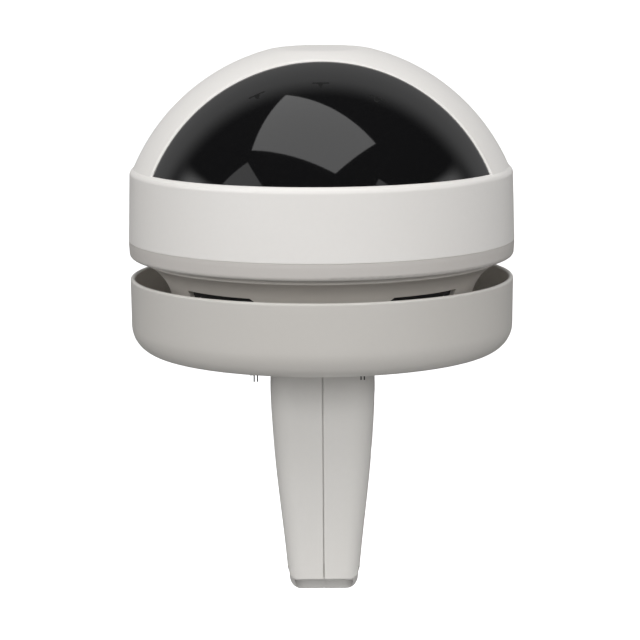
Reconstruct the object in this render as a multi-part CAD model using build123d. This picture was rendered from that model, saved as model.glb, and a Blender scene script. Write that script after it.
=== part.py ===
from build123d import *
import math
import os

# Pan and tilt security camera: a smoked-window dome head on a vented neck, a splash bowl and a hollow arm.
# Millimetres, +Z up, the window faces -Y.
# The origin is the centre of the pole socket's mouth, inside the arm's lower end.
# Every function below makes one named piece, and the last section writes each piece to its own STEP file.

os.makedirs("parts", exist_ok=True)

# ---- driving dimensions: heights above the pole socket's mouth, and outer radii ----
WALL = 2.5                      # moulded wall of the white housings
TOP_Z = 246.85                  # flat on top of the dome
TOP_FLAT_R = 20.7
SPHERE_R = 95.8                 # outside of the dome
SPHERE_Z = 153.4                # height of the dome's centre
SHOULDER_Z = 191.6              # top of the head's band
SHOULDER_ROUND = 3.2
BAND_TOP_R = 89.8               # the band widens downwards by its draft
BAND_BOTTOM_R = 90.5
BAND_IN_R = 87.3
BAND_BOTTOM_Z = 157.6           # joint between the dome cover and its tray
HEAD_BOTTOM_Z = 150.7
TRAY_TAPER_Z = 155.5            # the tray's band tapers in from here to its foot
TRAY_FOOT_R = 90.1
TRAY_FOOT_Z = 149.7
TRAY_FOOT_ROUND = 2.2
RIM_Z = 140.0                   # rim of the splash bowl
BOWL_RIM_R = 90.0
BOWL_LOW_R = 89.7
BOWL_BOTTOM_Z = 104.8
BOWL_FILLET = 12.8
BOWL_WALL = 2.2
NECK_R = 70.0                   # straight part of the neck
NECK_FLARE_Z = 126.0            # where the neck starts to flare
NECK_FLARE_ARC = 24.0
NECK_LIP_R = 83.0
NECK_TOP_Z = 149.4
POLE_R = 9.5                    # the pole that the arm is set on
SOCKET_DEPTH = 45.0
PART_GAP = 0.12                 # half of the line between the arm's two halves

# ---- the arm's outside: height, half width, half depth, corner radius ----
ARM_SECTIONS = [
    (BOWL_BOTTOM_Z, 22.9, 24.2, 11.0),
    (95.0, 24.4, 26.2, 12.0),
    (80.0, 24.25, 26.0, 12.0),
    (58.0, 22.85, 23.8, 11.0),
    (36.0, 20.8, 20.9, 10.0),
    (14.0, 18.4, 18.0, 9.0),
    (-4.0, 16.75, 16.0, 8.0),
    (-20.0, 15.7, 14.8, 7.5),
]
ARM_WALL = 2.6
ARM_FRONT_LIP_Z = -3.5          # the mouth is cut at a slant, lower at the back
ARM_BACK_LIP_Z = -16.0
ARM_LIP_ROUND = 5.0             # its lower corners, seen from the front
SEAM_NOTCH_Z = 4.0              # the seam's groove is deeper below this, at the front
ARM_LAP = 0.8                   # the left half's inner lip reaches this far past the seam
MOUTH_HALF_DEPTH = 15.6
ARM_SCREWS = [(13.5, 84.0), (-13.5, 84.0), (12.0, 58.0), (-12.0, 58.0)]
ARM_SCREW_HEAD_X = 13.0
ARM_SCREW_BOSS_R = 4.2
BOSS_Z = (92.5, BOWL_BOTTOM_Z)  # the turned boss between the arm and the bowl
BOSS_GROOVE_Z = (97.0, 100.0)
BOSS_R, BOSS_GROOVE_R, BOSS_BORE_R = 18.0, 15.0, 8.0
BOSS_SCREW_R = 12.0
BOSS_SCREW_TURNS = (90, 210, 330)
SOCKET_R = 12.5                 # the pole socket's tube and its flange
SOCKET_FLANGE = (13.7, 20.0, 23.0)
SOCKET_STOP_Z = SOCKET_DEPTH + 5.0
SOCKET_FIT = 0.1                # radial clearance on the pole
SET_SCREW_Z = 31.0

# ---- bowl and neck ----
BOWL_FLOOR_Z = BOWL_BOTTOM_Z + 2.5
NECK_SCREW_R = 64.0
CONTACTS = [(-30.3, -59.5), (18.2, -62.0)]
CONTACT_BLOCK = (5.4, 3.2, 2.0)
CONTACT_PIN_TIPS_Z = (99.6, 100.6)
POWER_BOARD_Z = 113.0
POWER_BOARD_HALF = 31.0
BOARD = 1.6                     # every circuit board's thickness
POWER_POST_R = 36.0
LEDGE_R = 76.0
PLATE_Z = (146.9, NECK_TOP_Z)   # the bearing plate
PLATE_SCREW_R = 78.2
PLATE_SCREW_HOLE_Z = 145.3      # blind, so that it stays inside the flare
QUARTERS = (0, 90, 180, 270)
DIAGONALS = (45, 135, 225, 315)

# ---- cover and tray ----
COVER_SCREW_R = 80.5
COVER_SCREW_TURNS = (40, 140, 220, 320)
COVER_POST_TOP_Z = 178.0
TRAY_SCREW_TURNS = (10, 170, 190, 350)
TRAY_SCREW_R = 68.0
SEAL = (86.3, 159.0, 160.5)

# ---- window and its clips ----
WINDOW_R = SPHERE_R - 0.6       # set in a little below the white dome
WINDOW_PANE = 3.0
WINDOW_EDGE_Y = -40.8           # the white arch's edge plane, at the shoulder
WINDOW_EDGE_LEAN = 9.4          # degrees that this plane leans back
WINDOW_EDGE_GAP = 0.25
FLANGE_BEHIND = 5.0             # how far the window's flange reaches behind the arch
GASKET = 0.7
CLIPS = [(50.0, -23.4), (49.2, 0.0), (47.2, 21.6)]  # degrees from the window's axis, and round it
CLIP_BAR = (8.0, 0.9)
CLIP_STEM = (2.8, 2.6)

# ---- turning parts ----
SPINDLE_R = 25.0
SPINDLE_TOP_Z = 172.0
SPINDLE_BORE_R = 13.0
SPINDLE_SCREW_R = 30.5
SPINDLE_FLANGE = (34.5, 152.0)
BEARING = (155.0, 162.0)        # bottom and top of the pan bearing
BALL_R = 2.4
BALL_COUNT = 24
BALL_RING_R = 31.0
RACE_PLAY = 0.1
TURNTABLE = (158.0, 161.0)
TURNTABLE_R = 74.0
GEAR_PRESSURE_ANGLE = 20.0
PAN_MODULE = 1.0
PAN_TEETH = 80
PAN_PINION_TEETH = 20
PAN_GEAR_Z = (163.0, 168.0)
PAN_PINION_Y = (PAN_TEETH + PAN_PINION_TEETH) * PAN_MODULE / 2
PAN_SHAFT_R = 1.5
MOTOR_PLATE_Z = (169.8, 171.4)
MOTOR_PLATE_HALF = (22.0, 11.0)
TILT_MODULE = 0.8
TILT_TEETH = 60
TILT_PINION_TEETH = 20
TILT_MESH_ANGLE = -55.0         # from +Y towards +Z, pivot to pinion
TILT_SECTOR_SPAN = 112.0
TILT_GEAR_X = (40.3, 43.0)
PIVOT_Y = -10.0
PIVOT_Z = 206.0
REST_TILT = 30.0                # the lens looks this far above level at rest
YOKE_X = (44.0, 47.0)
TRUNNION_R = 4.0
BUSH_R = 6.0
YOKE_BOSS_R = 11.0
YOKE_FRONT_Y = -26.0
YOKE_FOOT_X = 58.0
YOKE_SCREWS = [(53.0, -20.0), (53.0, 4.0)]
TILT_SHAFT_R = 1.2
RUNNING = 0.05                  # radial clearance of a running fit

# ---- camera block, in its own frame: pivot at the origin, the lens looks along -Y ----
BLOCK_HALF = (25.0, 20.0)
BLOCK_Y = (-22.0, -4.0, 16.0)
BLOCK_WALL = 2.0
BARREL_R = 10.0
BARREL_FRONT_Y = -33.0
RING_R = 13.0
LED_COUNT = 10
LED_CIRCLE_R = 16.6
LED_R = 1.9
BLOCK_SCREWS = [(x, z) for x in (-20.5, 20.5) for z in (-15.5, 15.5)]
MAIN_BOARD_Y = 69.0
BRACKET_SCREWS = [(-22, 168), (22, 168), (-22, 180), (22, 180)]

# ---- vents ----
VENT_TOP_Z = 138.8
VENT_HEIGHT = 14.0
VENT_HALF_WIDTH = 21.0
VENT_CORNER = 3.5
VENT_TURNS = (50.0, 130.0, 230.0, 310.0)
FAN_Y = 42.0
FAN_HALF = 20.0
FAN_Z = (136.9, 146.9)
FAN_SCREWS = [(x, y) for x in (-16, 16) for y in (FAN_Y - 16, FAN_Y + 16)]
FAN_PIN_R = 1.5
FAN_BLADES = 7

# ---- screws: shank radius, head radius, head height ----
M25 = (1.25, 2.3, 1.6)
M3 = (1.5, 2.8, 1.8)
M4 = (2.0, 3.5, 2.6)

BOTTOM = (Align.CENTER, Align.CENTER, Align.MIN)
FAR = 400.0


# ---- small shared shapes ----
def cylinder(r, low, high, x=0.0, y=0.0):
    return Pos(x, y, low) * Cylinder(r, high - low, align=BOTTOM)


def tube(r_out, r_in, low, high, x=0.0, y=0.0):
    return cylinder(r_out, low, high, x, y) - cylinder(r_in, low - 1, high + 1, x, y)


def block(x0, x1, y0, y1, z0, z1):
    return Pos((x0 + x1) / 2, (y0 + y1) / 2, (z0 + z1) / 2) * Box(x1 - x0, y1 - y0, z1 - z0)


def along_x(r, x0, x1, y, z):
    """A cylinder that lies along X."""
    return Pos((x0 + x1) / 2, y, z) * Rot(0, 90, 0) * Cylinder(r, x1 - x0)


def along_y(r, y0, y1, x=0.0, z=0.0):
    """A cylinder that lies along Y."""
    return Pos(x, (y0 + y1) / 2, z) * Rot(90, 0, 0) * Cylinder(r, y1 - y0)


def turned(*lines):
    """A solid of revolution about Z from outline pieces drawn as (radius, height)."""
    return revolve(Plane.XZ * make_face(Curve() + list(lines)), Axis.Z)


def turned_polygon(*points):
    return revolve(Plane.XZ * make_face(Polyline(*points, close=True)), Axis.Z)


def polar(r, degrees):
    return r * math.cos(math.radians(degrees)), r * math.sin(math.radians(degrees))


def ball(r):
    """A sphere about the dome's centre."""
    return Pos(0, 0, SPHERE_Z) * Sphere(r)


def join(shapes):
    """Several separate solids as one compound."""
    return Compound(children=[s for shape in shapes for s in shape.solids()])


def screw(size, length, slot_depth=0.9):
    """A cross-head screw that points down: its head stands on z = 0."""
    shank, head, height = size
    body = cylinder(shank - 0.02, -length, 0) + cylinder(head, 0, height)
    rim = body.faces().sort_by(Axis.Z)[-1].edges()
    body = fillet(rim, height * 0.35)
    arm = head * 0.55
    slot = block(-arm, arm, -0.35, 0.35, height - slot_depth, height + 1)
    return body - slot - Rot(0, 0, 90) * slot


def behind_arch(offset):
    """Everything in front of the arch's edge plane, moved back by offset."""
    front = Pos(0, -FAR / 2, 0) * Box(FAR, FAR, FAR)
    lean = Rot(-WINDOW_EDGE_LEAN, 0, 0)
    return Pos(0, WINDOW_EDGE_Y + offset, SHOULDER_Z) * lean * front


# ---- gears ----
def involute(angle):
    return math.tan(angle) - angle


def gear_outline(teeth, module, backlash=0.16, flank_points=5):
    """The outline of a spur gear's rim, with a tooth centred on the first axis."""
    pitch_r = teeth * module / 2
    pressure = math.radians(GEAR_PRESSURE_ANGLE)
    base_r = pitch_r * math.cos(pressure)
    tip_r, root_r = pitch_r + 0.95 * module, pitch_r - 1.25 * module
    half_tooth = math.pi / (2 * teeth) - backlash / (2 * pitch_r)
    start_r = max(base_r, root_r + 0.1 * module)
    flank = []
    for i in range(flank_points):
        r = start_r + (tip_r - start_r) * i / (flank_points - 1)
        at = math.acos(min(1.0, base_r / r))
        flank.append((r, half_tooth + involute(pressure) - involute(at)))
    rising = [(root_r, flank[0][1] * 1.02)] + flank
    points = []
    for n in range(teeth):
        centre = 2 * math.pi * n / teeth
        side = [(r, centre - a) for r, a in rising] + [(r, centre + a) for r, a in reversed(rising)]
        points += [(r * math.cos(a), r * math.sin(a)) for r, a in side]
    return points


def gear(teeth, module, low, high, turn):
    rim = make_face(Polyline(*gear_outline(teeth, module), close=True))
    return Pos(0, 0, low) * Rot(0, 0, turn) * extrude(rim, high - low)


# ---- arm ----
def arm_loft(inset):
    """The arm's outside, drawn in by inset all round."""
    rings = [
        Pos(0, 0, z) * RectangleRounded(2 * (a - inset), 2 * (b - inset), max(r - inset, 1.0))
        for z, a, b, r in ARM_SECTIONS
    ]
    return loft(rings)


def on_mouth(shape):
    """Moves a shape from the level plane onto the arm's slanting mouth."""
    slant = math.degrees(math.atan2(ARM_FRONT_LIP_Z - ARM_BACK_LIP_Z, 2 * MOUTH_HALF_DEPTH))
    middle = (ARM_FRONT_LIP_Z + ARM_BACK_LIP_Z) / 2
    return Pos(0, 0, middle) * Rot(-slant, 0, 0) * shape


def arm_body():
    """The whole hollow arm with its ribs and screw bosses, before it is split."""
    inside = arm_loft(ARM_WALL)
    body = arm_loft(0) - inside
    ribs = []
    for low, high, hole in [
        (BOSS_GROOVE_Z[0] + 0.1, BOSS_GROOVE_Z[1] - 0.1, BOSS_GROOVE_R + 0.05),
        (40.0, 43.0, SOCKET_R),
        (SOCKET_FLANGE[2], SOCKET_FLANGE[2] + 2.5, SOCKET_R),
        (SOCKET_FLANGE[1] - 2.5, SOCKET_FLANGE[1], SOCKET_R),
        (3.0, 5.5, SOCKET_R),
    ]:
        ribs.append((inside & block(-40, 40, -40, 40, low, high)) - cylinder(hole, low - 1, high + 1))
    for y, z in ARM_SCREWS:
        ribs.append(along_x(ARM_SCREW_BOSS_R, -25, 25, y, z) & inside)
    body = body + ribs
    for y, z in ARM_SCREWS:
        body -= along_x(1.5, -16, 0, y, z)
        body -= along_x(1.7, -1, ARM_SCREW_HEAD_X, y, z)
        body -= along_x(3.3, ARM_SCREW_HEAD_X, 40, y, z)
    body -= along_x(3.0, 10, 40, 0, SET_SCREW_Z)
    groove = (arm_loft(-1) - arm_loft(0.45)) & block(-0.4, 0.4, -60, 60, -40, 120)
    notch = (arm_loft(-1) - arm_loft(ARM_WALL / 2)) & block(-0.4, 0.4, -60, 0, -40, SEAM_NOTCH_Z)
    return (body - groove - notch) & above_mouth()


def above_mouth():
    """Everything over the arm's mouth, with the mouth's two long corners rounded."""
    half = ARM_SECTIONS[-2][1] - 0.3
    clear = 200.0
    foot = block(-half, half, -clear, clear, 0, 2 * ARM_LIP_ROUND)
    foot = fillet(foot.edges().filter_by(Axis.Y).group_by(Axis.Z)[0], ARM_LIP_ROUND)
    return on_mouth(foot + block(-clear, clear, -clear, clear, ARM_LIP_ROUND + 1.5, clear))


def arm_halves():
    """The left half's inner lip laps into a rebate in the right half, so the seam is closed."""
    body = arm_body()
    core = arm_loft(ARM_WALL / 2)
    lip = core & block(-1, ARM_LAP, -60, 60, -40, 120)
    rebate = core & block(0, ARM_LAP + PART_GAP, -60, 60, -40, 120)
    left = body & (block(-60, -PART_GAP, -60, 60, -40, 120) + lip)
    right = (body & block(PART_GAP, 60, -60, 60, -40, 120)) - rebate
    return left, right


def arm_screws():
    made = []
    for y, z in ARM_SCREWS:
        made.append(Pos(ARM_SCREW_HEAD_X, y, z) * Rot(0, 90, 0) * screw(M3, 27))
    return join(made)


def arm_boss():
    """The turned boss that both halves grip and the bowl is screwed to."""
    body = tube(BOSS_R, BOSS_BORE_R, *BOSS_Z)
    body -= tube(BOSS_R + 1, BOSS_GROOVE_R, *BOSS_GROOVE_Z)
    for turn in BOSS_SCREW_TURNS:
        x, y = polar(BOSS_SCREW_R, turn)
        body -= cylinder(2.0, BOSS_Z[0] + 2, BOSS_Z[1] + 1, x, y)
    return body


def arm_boss_screws():
    made = []
    for turn in BOSS_SCREW_TURNS:
        x, y = polar(BOSS_SCREW_R, turn)
        made.append(Pos(x, y, BOWL_FLOOR_Z) * screw(M4, 11))
    return join(made)


def pole_socket():
    """The metal tube in the arm's lower end that slides over the pole."""
    r, low, high = SOCKET_FLANGE
    body = cylinder(SOCKET_R, 0, SOCKET_STOP_Z) + cylinder(r, low, high)
    body -= cylinder(POLE_R + SOCKET_FIT, -1, SOCKET_DEPTH)
    body -= cylinder(6.0, 0, SOCKET_STOP_Z + 1)
    return body - along_x(2.0, 5, 15, 0, SET_SCREW_Z)


def pole_set_screw():
    """Hexagon-socket screw that pins the socket on its pole."""
    body = along_x(1.98, 10.2, 14.0, 0, SET_SCREW_Z) + along_x(2.6, 14.0, 16.6, 0, SET_SCREW_Z)
    key = Plane.YZ * RegularPolygon(1.4, 6)
    return body - Pos(14.8, 0, SET_SCREW_Z) * extrude(key, 3)


def power_inlet():
    """The round socket that the pole's own lead plugs into."""
    body = cylinder(5.9, SOCKET_DEPTH + 1, 60) + cylinder(7.2, SOCKET_STOP_Z, 53)
    for x in (-2, 2):
        body -= cylinder(0.8, SOCKET_DEPTH, 52, x, 0)
    return fillet(body.faces().sort_by(Axis.Z)[-1].edges(), 1.5)


# ---- bowl ----
def bowl():
    low_r = BOWL_LOW_R
    bend = low_r - BOWL_FILLET
    start = BOWL_BOTTOM_Z + BOWL_FILLET
    in_low, in_rim = low_r - BOWL_WALL, BOWL_RIM_R - BOWL_WALL
    in_fillet = BOWL_FILLET - BOWL_WALL
    in_start = BOWL_FLOOR_Z + in_fillet
    slope = 0.5 ** 0.5
    rim = BOWL_WALL / 2
    shell = turned(
        Line((BOSS_BORE_R, BOWL_BOTTOM_Z), (bend, BOWL_BOTTOM_Z)),
        ThreePointArc(
            (bend, BOWL_BOTTOM_Z),
            (bend + BOWL_FILLET * slope, start - BOWL_FILLET * slope),
            (low_r, start),
        ),
        Line((low_r, start), (BOWL_RIM_R, RIM_Z - rim)),
        ThreePointArc((BOWL_RIM_R, RIM_Z - rim), (BOWL_RIM_R - rim, RIM_Z), (in_rim, RIM_Z - rim)),
        Line((in_rim, RIM_Z - rim), (in_low, in_start)),
        ThreePointArc(
            (in_low, in_start),
            (in_low - in_fillet * (1 - slope), in_start - in_fillet * slope),
            (in_low - in_fillet, BOWL_FLOOR_Z),
        ),
        Line((in_low - in_fillet, BOWL_FLOOR_Z), (BOSS_BORE_R, BOWL_FLOOR_Z)),
        Line((BOSS_BORE_R, BOWL_FLOOR_Z), (BOSS_BORE_R, BOWL_BOTTOM_Z)),
    )
    for turn in BOSS_SCREW_TURNS:
        shell -= cylinder(2.2, 100, 110, *polar(BOSS_SCREW_R, turn))
    for turn in QUARTERS:
        shell -= cylinder(1.7, 100, 110, *polar(NECK_SCREW_R, turn))
    for turn in DIAGONALS:
        shell += cylinder(3.0, BOWL_FLOOR_Z - 0.5, POWER_BOARD_Z, *polar(POWER_POST_R, turn))
        shell -= cylinder(1.25, BOWL_FLOOR_Z + 1, POWER_BOARD_Z + 1, *polar(POWER_POST_R, turn))
    return shell


def neck_screws():
    made = []
    for turn in QUARTERS:
        x, y = polar(NECK_SCREW_R, turn)
        made.append(Pos(x, y, BOWL_BOTTOM_Z) * Rot(180, 0, 0) * screw(M3, 5.2))
    return join(made)


def contact_blocks():
    """Two small black blocks under the bowl's front edge."""
    wide, deep, high = CONTACT_BLOCK
    one = Box(wide, deep, high, align=BOTTOM)
    return join([Pos(x, y, BOWL_BOTTOM_Z - high) * one for x, y in CONTACTS])


def contact_pins():
    """Two service pins that stand out of each block."""
    made = []
    for (x, y), low in zip(CONTACTS, CONTACT_PIN_TIPS_Z):
        for side in (-0.75, 0.75):
            made.append(cylinder(0.3, low, BOWL_BOTTOM_Z - CONTACT_BLOCK[2], x + side, y))
    return join(made)


def power_board():
    half = POWER_BOARD_HALF
    board = block(-half, half, -half, half, POWER_BOARD_Z, POWER_BOARD_Z + BOARD)
    board = fillet(board.edges().filter_by(Axis.Z), 4)
    for turn in DIAGONALS:
        board -= cylinder(1.4, 100, 130, *polar(POWER_POST_R, turn))
    return board


def power_board_screws():
    top = POWER_BOARD_Z + BOARD
    return join([Pos(*polar(POWER_POST_R, t), top) * screw(M25, 6) for t in DIAGONALS])


def power_parts():
    """What stands on the power board: coil, capacitors, terminal block."""
    top = POWER_BOARD_Z + BOARD
    made = [tube(8, 3.5, top, top + 6, -12, 8), block(8, 24, 12, 20, top, top + 9)]
    for x, y in ((6, -16), (16, -16), (-4, -16)):
        made.append(fillet(cylinder(4, top, top + 11, x, y).edges().sort_by(Axis.Z)[-1], 0.8))
    made.append(block(-25, -15, -20, -10, top, top + 2))
    return join(made)


# ---- neck ----
def neck_outline(inset, low, top_r):
    """Outline pieces of the neck's flared side, from low up to where it reaches top_r."""
    r0, arc = NECK_R - inset, NECK_FLARE_ARC + inset
    end = math.acos(1 - (top_r - r0) / arc)
    high = NECK_FLARE_Z + arc * math.sin(end)
    middle = (r0 + arc * (1 - math.cos(end / 2)), NECK_FLARE_Z + arc * math.sin(end / 2))
    side = [
        Line((r0, low), (r0, NECK_FLARE_Z)),
        ThreePointArc((r0, NECK_FLARE_Z), middle, (top_r, high)),
    ]
    return side, high


def neck_core(inset, low, top_r):
    """A solid filling of the neck, drawn in by inset."""
    side, high = neck_outline(inset, low, top_r)
    across, down = Line((top_r, high), (0, high)), Line((0, high), (0, low))
    return turned(*side, across, down, Line((0, low), (NECK_R - inset, low)))


def vent_prism(turn, grow, r0, r1):
    """A vent's outline pushed out along its radius; its inner top corner is cut off."""
    w, top = VENT_HALF_WIDTH + grow, VENT_TOP_Z + grow
    low = top - VENT_HEIGHT - 2 * grow
    inner = 1 if turn % 180 < 90 else -1
    outline = [
        (-w * inner, low),
        (w * inner, low),
        (w * inner, top - VENT_CORNER),
        ((w - VENT_CORNER) * inner, top),
        (-w * inner, top),
    ]
    upright = Plane(origin=(r0, 0, 0), x_dir=(0, 1, 0), z_dir=(1, 0, 0))
    face = upright * make_face(Polyline(*outline, close=True))
    return Rot(0, 0, turn) * extrude(face, r1 - r0)


def neck_shell():
    side, flare_top = neck_outline(0, BOWL_FLOOR_Z, NECK_LIP_R)
    inner, inner_top = neck_outline(WALL, BOWL_FLOOR_Z + 3, LEDGE_R)
    lip_in = NECK_LIP_R - WALL
    shell = turned(
        *side,
        Line((NECK_LIP_R, flare_top), (NECK_LIP_R, NECK_TOP_Z)),
        Line((NECK_LIP_R, NECK_TOP_Z), (lip_in, NECK_TOP_Z)),
        Line((lip_in, NECK_TOP_Z), (lip_in, PLATE_Z[0])),
        Line((lip_in, PLATE_Z[0]), (LEDGE_R, PLATE_Z[0])),
        Line((LEDGE_R, PLATE_Z[0]), (LEDGE_R, inner_top)),
        *inner,
        Line((NECK_R - WALL, BOWL_FLOOR_Z + 3), (60, BOWL_FLOOR_Z + 3)),
        Line((60, BOWL_FLOOR_Z + 3), (60, BOWL_FLOOR_Z)),
        Line((60, BOWL_FLOOR_Z), (NECK_R, BOWL_FLOOR_Z)),
    )
    for turn in VENT_TURNS:
        shell -= vent_prism(turn, 0, 40, 100)
    for turn in QUARTERS:
        shell -= cylinder(1.5, BOWL_FLOOR_Z - 1, BOWL_FLOOR_Z + 4, *polar(NECK_SCREW_R, turn))
    for turn in QUARTERS:
        shell -= cylinder(1.25, PLATE_SCREW_HOLE_Z, 148, *polar(PLATE_SCREW_R, turn))
    return shell


def vent_grilles():
    """Four black louvred inserts that back the vents from inside."""
    skin = neck_core(WALL, 115, LEDGE_R) - neck_core(WALL + 2.2, 110, LEDGE_R - 1.5)
    made = []
    for turn in VENT_TURNS:
        grille = skin & vent_prism(turn, 2.0, 40, 100)
        for n in range(3):
            z = VENT_TOP_Z - VENT_HEIGHT + 2.2 + n * 4.0
            slat = Plane(origin=(40, 0, z), x_dir=(0, 1, 0), z_dir=(1, 0, 0)) * Rectangle(40, 1.6)
            grille -= Rot(0, 0, turn) * extrude(slat, 60)
        made.append(grille)
    return join(made)


def bearing_plate():
    """Aluminium disc that closes the neck and carries the spindle."""
    plate = cylinder(NECK_LIP_R - WALL - 0.1, *PLATE_Z) - cylinder(SPINDLE_BORE_R, 140, 155)
    plate -= cylinder(18, 140, 155, 0, FAN_Y)
    for turn in QUARTERS:
        plate -= cylinder(1.4, 140, 155, *polar(PLATE_SCREW_R, turn))
        plate -= cylinder(2.4, PLATE_Z[1] - 1.7, 155, *polar(PLATE_SCREW_R, turn))
    for turn in DIAGONALS:
        plate -= cylinder(1.5, 140, 155, *polar(SPINDLE_SCREW_R, turn))
    for x, y in FAN_SCREWS:
        plate -= cylinder(1.25, 140, 155, x, y)
    return plate


def plate_screws():
    top = PLATE_Z[1] - 1.7
    long = top - PLATE_SCREW_HOLE_Z - 0.1
    return join([Pos(*polar(PLATE_SCREW_R, t), top) * screw(M25, long, 0.7) for t in QUARTERS])


def pan_spindle():
    """Hollow spindle that the head turns on, with the flange that holds it down."""
    flange_r, flange_z = SPINDLE_FLANGE
    body = cylinder(flange_r, NECK_TOP_Z, flange_z) + cylinder(SPINDLE_R + 1.5, flange_z, BEARING[0])
    body += cylinder(SPINDLE_R, BEARING[0], SPINDLE_TOP_Z)
    body -= cylinder(SPINDLE_BORE_R, 140, 180)
    for turn in DIAGONALS:
        body -= cylinder(1.6, 140, 160, *polar(SPINDLE_SCREW_R, turn))
    return body


def spindle_screws():
    return join([Pos(*polar(SPINDLE_SCREW_R, t), SPINDLE_FLANGE[1]) * screw(M3, 5) for t in DIAGONALS])


def spindle_nut():
    ring = tube(30, SPINDLE_R, PAN_GEAR_Z[1], SPINDLE_TOP_Z)
    for turn in QUARTERS:
        ring -= Rot(0, 0, turn) * block(28, 31, -2, 2, PAN_GEAR_Z[1] - 1, SPINDLE_TOP_Z + 1)
    return ring


def ball_track(extra):
    return Pos(0, 0, sum(BEARING) / 2) * Torus(BALL_RING_R, BALL_R + extra)


def bearing_inner_race():
    return tube(28.8, SPINDLE_R, *BEARING) - ball_track(RACE_PLAY)


def bearing_outer_race():
    return tube(37.0, 33.2, *BEARING) - ball_track(RACE_PLAY)


def bearing_balls():
    middle = sum(BEARING) / 2
    step = 360 / BALL_COUNT
    return join([Pos(*polar(BALL_RING_R, n * step), middle) * Sphere(BALL_R) for n in range(BALL_COUNT)])


def pan_ring_gear():
    """Fixed gear that the head's pan pinion walks round."""
    low, high = PAN_GEAR_Z
    body = gear(PAN_TEETH, PAN_MODULE, low, high, 0)
    body -= cylinder(SPINDLE_R, low - 1, high + 1)
    body += tube(28.0, SPINDLE_R, BEARING[1], low)
    for n in range(6):
        body -= cylinder(3.2, low - 1, high + 1, *polar(33.5, 30 + 60 * n))
    return body


def slip_ring_stator():
    body = cylinder(SPINDLE_BORE_R - 0.1, 150, SPINDLE_TOP_Z) + cylinder(16, SPINDLE_TOP_Z, 173.4)
    return body - cylinder(3, 140, 160)


def fan_frame():
    frame = block(-FAN_HALF, FAN_HALF, FAN_Y - FAN_HALF, FAN_Y + FAN_HALF, *FAN_Z)
    frame = fillet(frame.edges().filter_by(Axis.Z), 3)
    frame -= cylinder(18.4, FAN_Z[0] - 1, FAN_Z[1] + 1, 0, FAN_Y)
    frame += cylinder(8.5, FAN_Z[0], FAN_Z[0] + 1.4, 0, FAN_Y)
    for turn in (20, 110, 200, 290):
        strut = Rot(0, 0, turn) * block(8, 18.8, -1, 1, FAN_Z[0], FAN_Z[0] + 1.4)
        frame += Pos(0, FAN_Y, 0) * strut
    frame += cylinder(FAN_PIN_R, FAN_Z[0] + 1.4, FAN_Z[0] + 6, 0, FAN_Y)
    for x, y in FAN_SCREWS:
        frame -= cylinder(1.4, FAN_Z[0] - 1, FAN_Z[1] + 1, x, y)
    return frame


def fan_screws():
    return join([Pos(x, y, FAN_Z[0]) * Rot(180, 0, 0) * screw(M25, 12) for x, y in FAN_SCREWS])


def fan_rotor():
    """Hub and seven pitched blades, on the pin that stands in the frame."""
    low, high = FAN_Z[0] + 1.9, FAN_Z[1] - 0.6
    rotor = cylinder(8.8, low, high)
    middle = (low + high) / 2
    envelope = tube(17.7, 8.0, low, high)
    for n in range(FAN_BLADES):
        blade = Pos(12.8, 0, middle) * Rot(38, 0, 0) * Box(11.5, 1.1, 15)
        rotor += Rot(0, 0, n * 360 / FAN_BLADES) * (blade & envelope)
    rotor -= cylinder(FAN_PIN_R + RUNNING, low - 1, FAN_Z[0] + 6.3)
    return Pos(0, FAN_Y, 0) * rotor


# ---- head: cover, window, tray ----
def band_section():
    """Outline of the head's band, from its foot up its draft and round its shoulder."""
    centre_r, centre_z = BAND_TOP_R - SHOULDER_ROUND, SHOULDER_Z - SHOULDER_ROUND
    end = math.acos((BAND_IN_R - centre_r) / SHOULDER_ROUND)
    across, up = polar(SHOULDER_ROUND, math.degrees(end / 2))
    middle = (centre_r + across, centre_z + up)
    top = (BAND_IN_R, centre_z + SHOULDER_ROUND * math.sin(end))
    return [
        Line((BAND_IN_R, BAND_BOTTOM_Z), (BAND_BOTTOM_R, BAND_BOTTOM_Z)),
        Line((BAND_BOTTOM_R, BAND_BOTTOM_Z), (BAND_TOP_R, centre_z)),
        ThreePointArc((BAND_TOP_R, centre_z), middle, top),
        Line(top, (BAND_IN_R, BAND_BOTTOM_Z)),
    ]


def dome_cover():
    """The white moulding: band and dome, open at the front for the window."""
    sphere_in = SPHERE_R - WALL
    join_z = SPHERE_Z + math.sqrt(sphere_in**2 - BAND_IN_R**2)
    dome = (ball(SPHERE_R) & cylinder(BAND_TOP_R - 1.2, join_z, TOP_Z)) - ball(sphere_in)
    dome += cylinder(TOP_FLAT_R, TOP_Z - WALL, TOP_Z) & ball(SPHERE_R)
    cover = turned(*band_section()) + (dome - behind_arch(0))
    for turn in COVER_SCREW_TURNS:
        x, y = polar(COVER_SCREW_R, turn)
        rib = block(COVER_SCREW_R, BAND_IN_R + 0.5, -1.5, 1.5, BAND_BOTTOM_Z + 6, COVER_POST_TOP_Z)
        cover += cylinder(3.8, HEAD_BOTTOM_Z + WALL, COVER_POST_TOP_Z, x, y) + Rot(0, 0, turn) * rib
        cover -= cylinder(1.5, 140, COVER_POST_TOP_Z - 6, x, y)
    return cover


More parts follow.
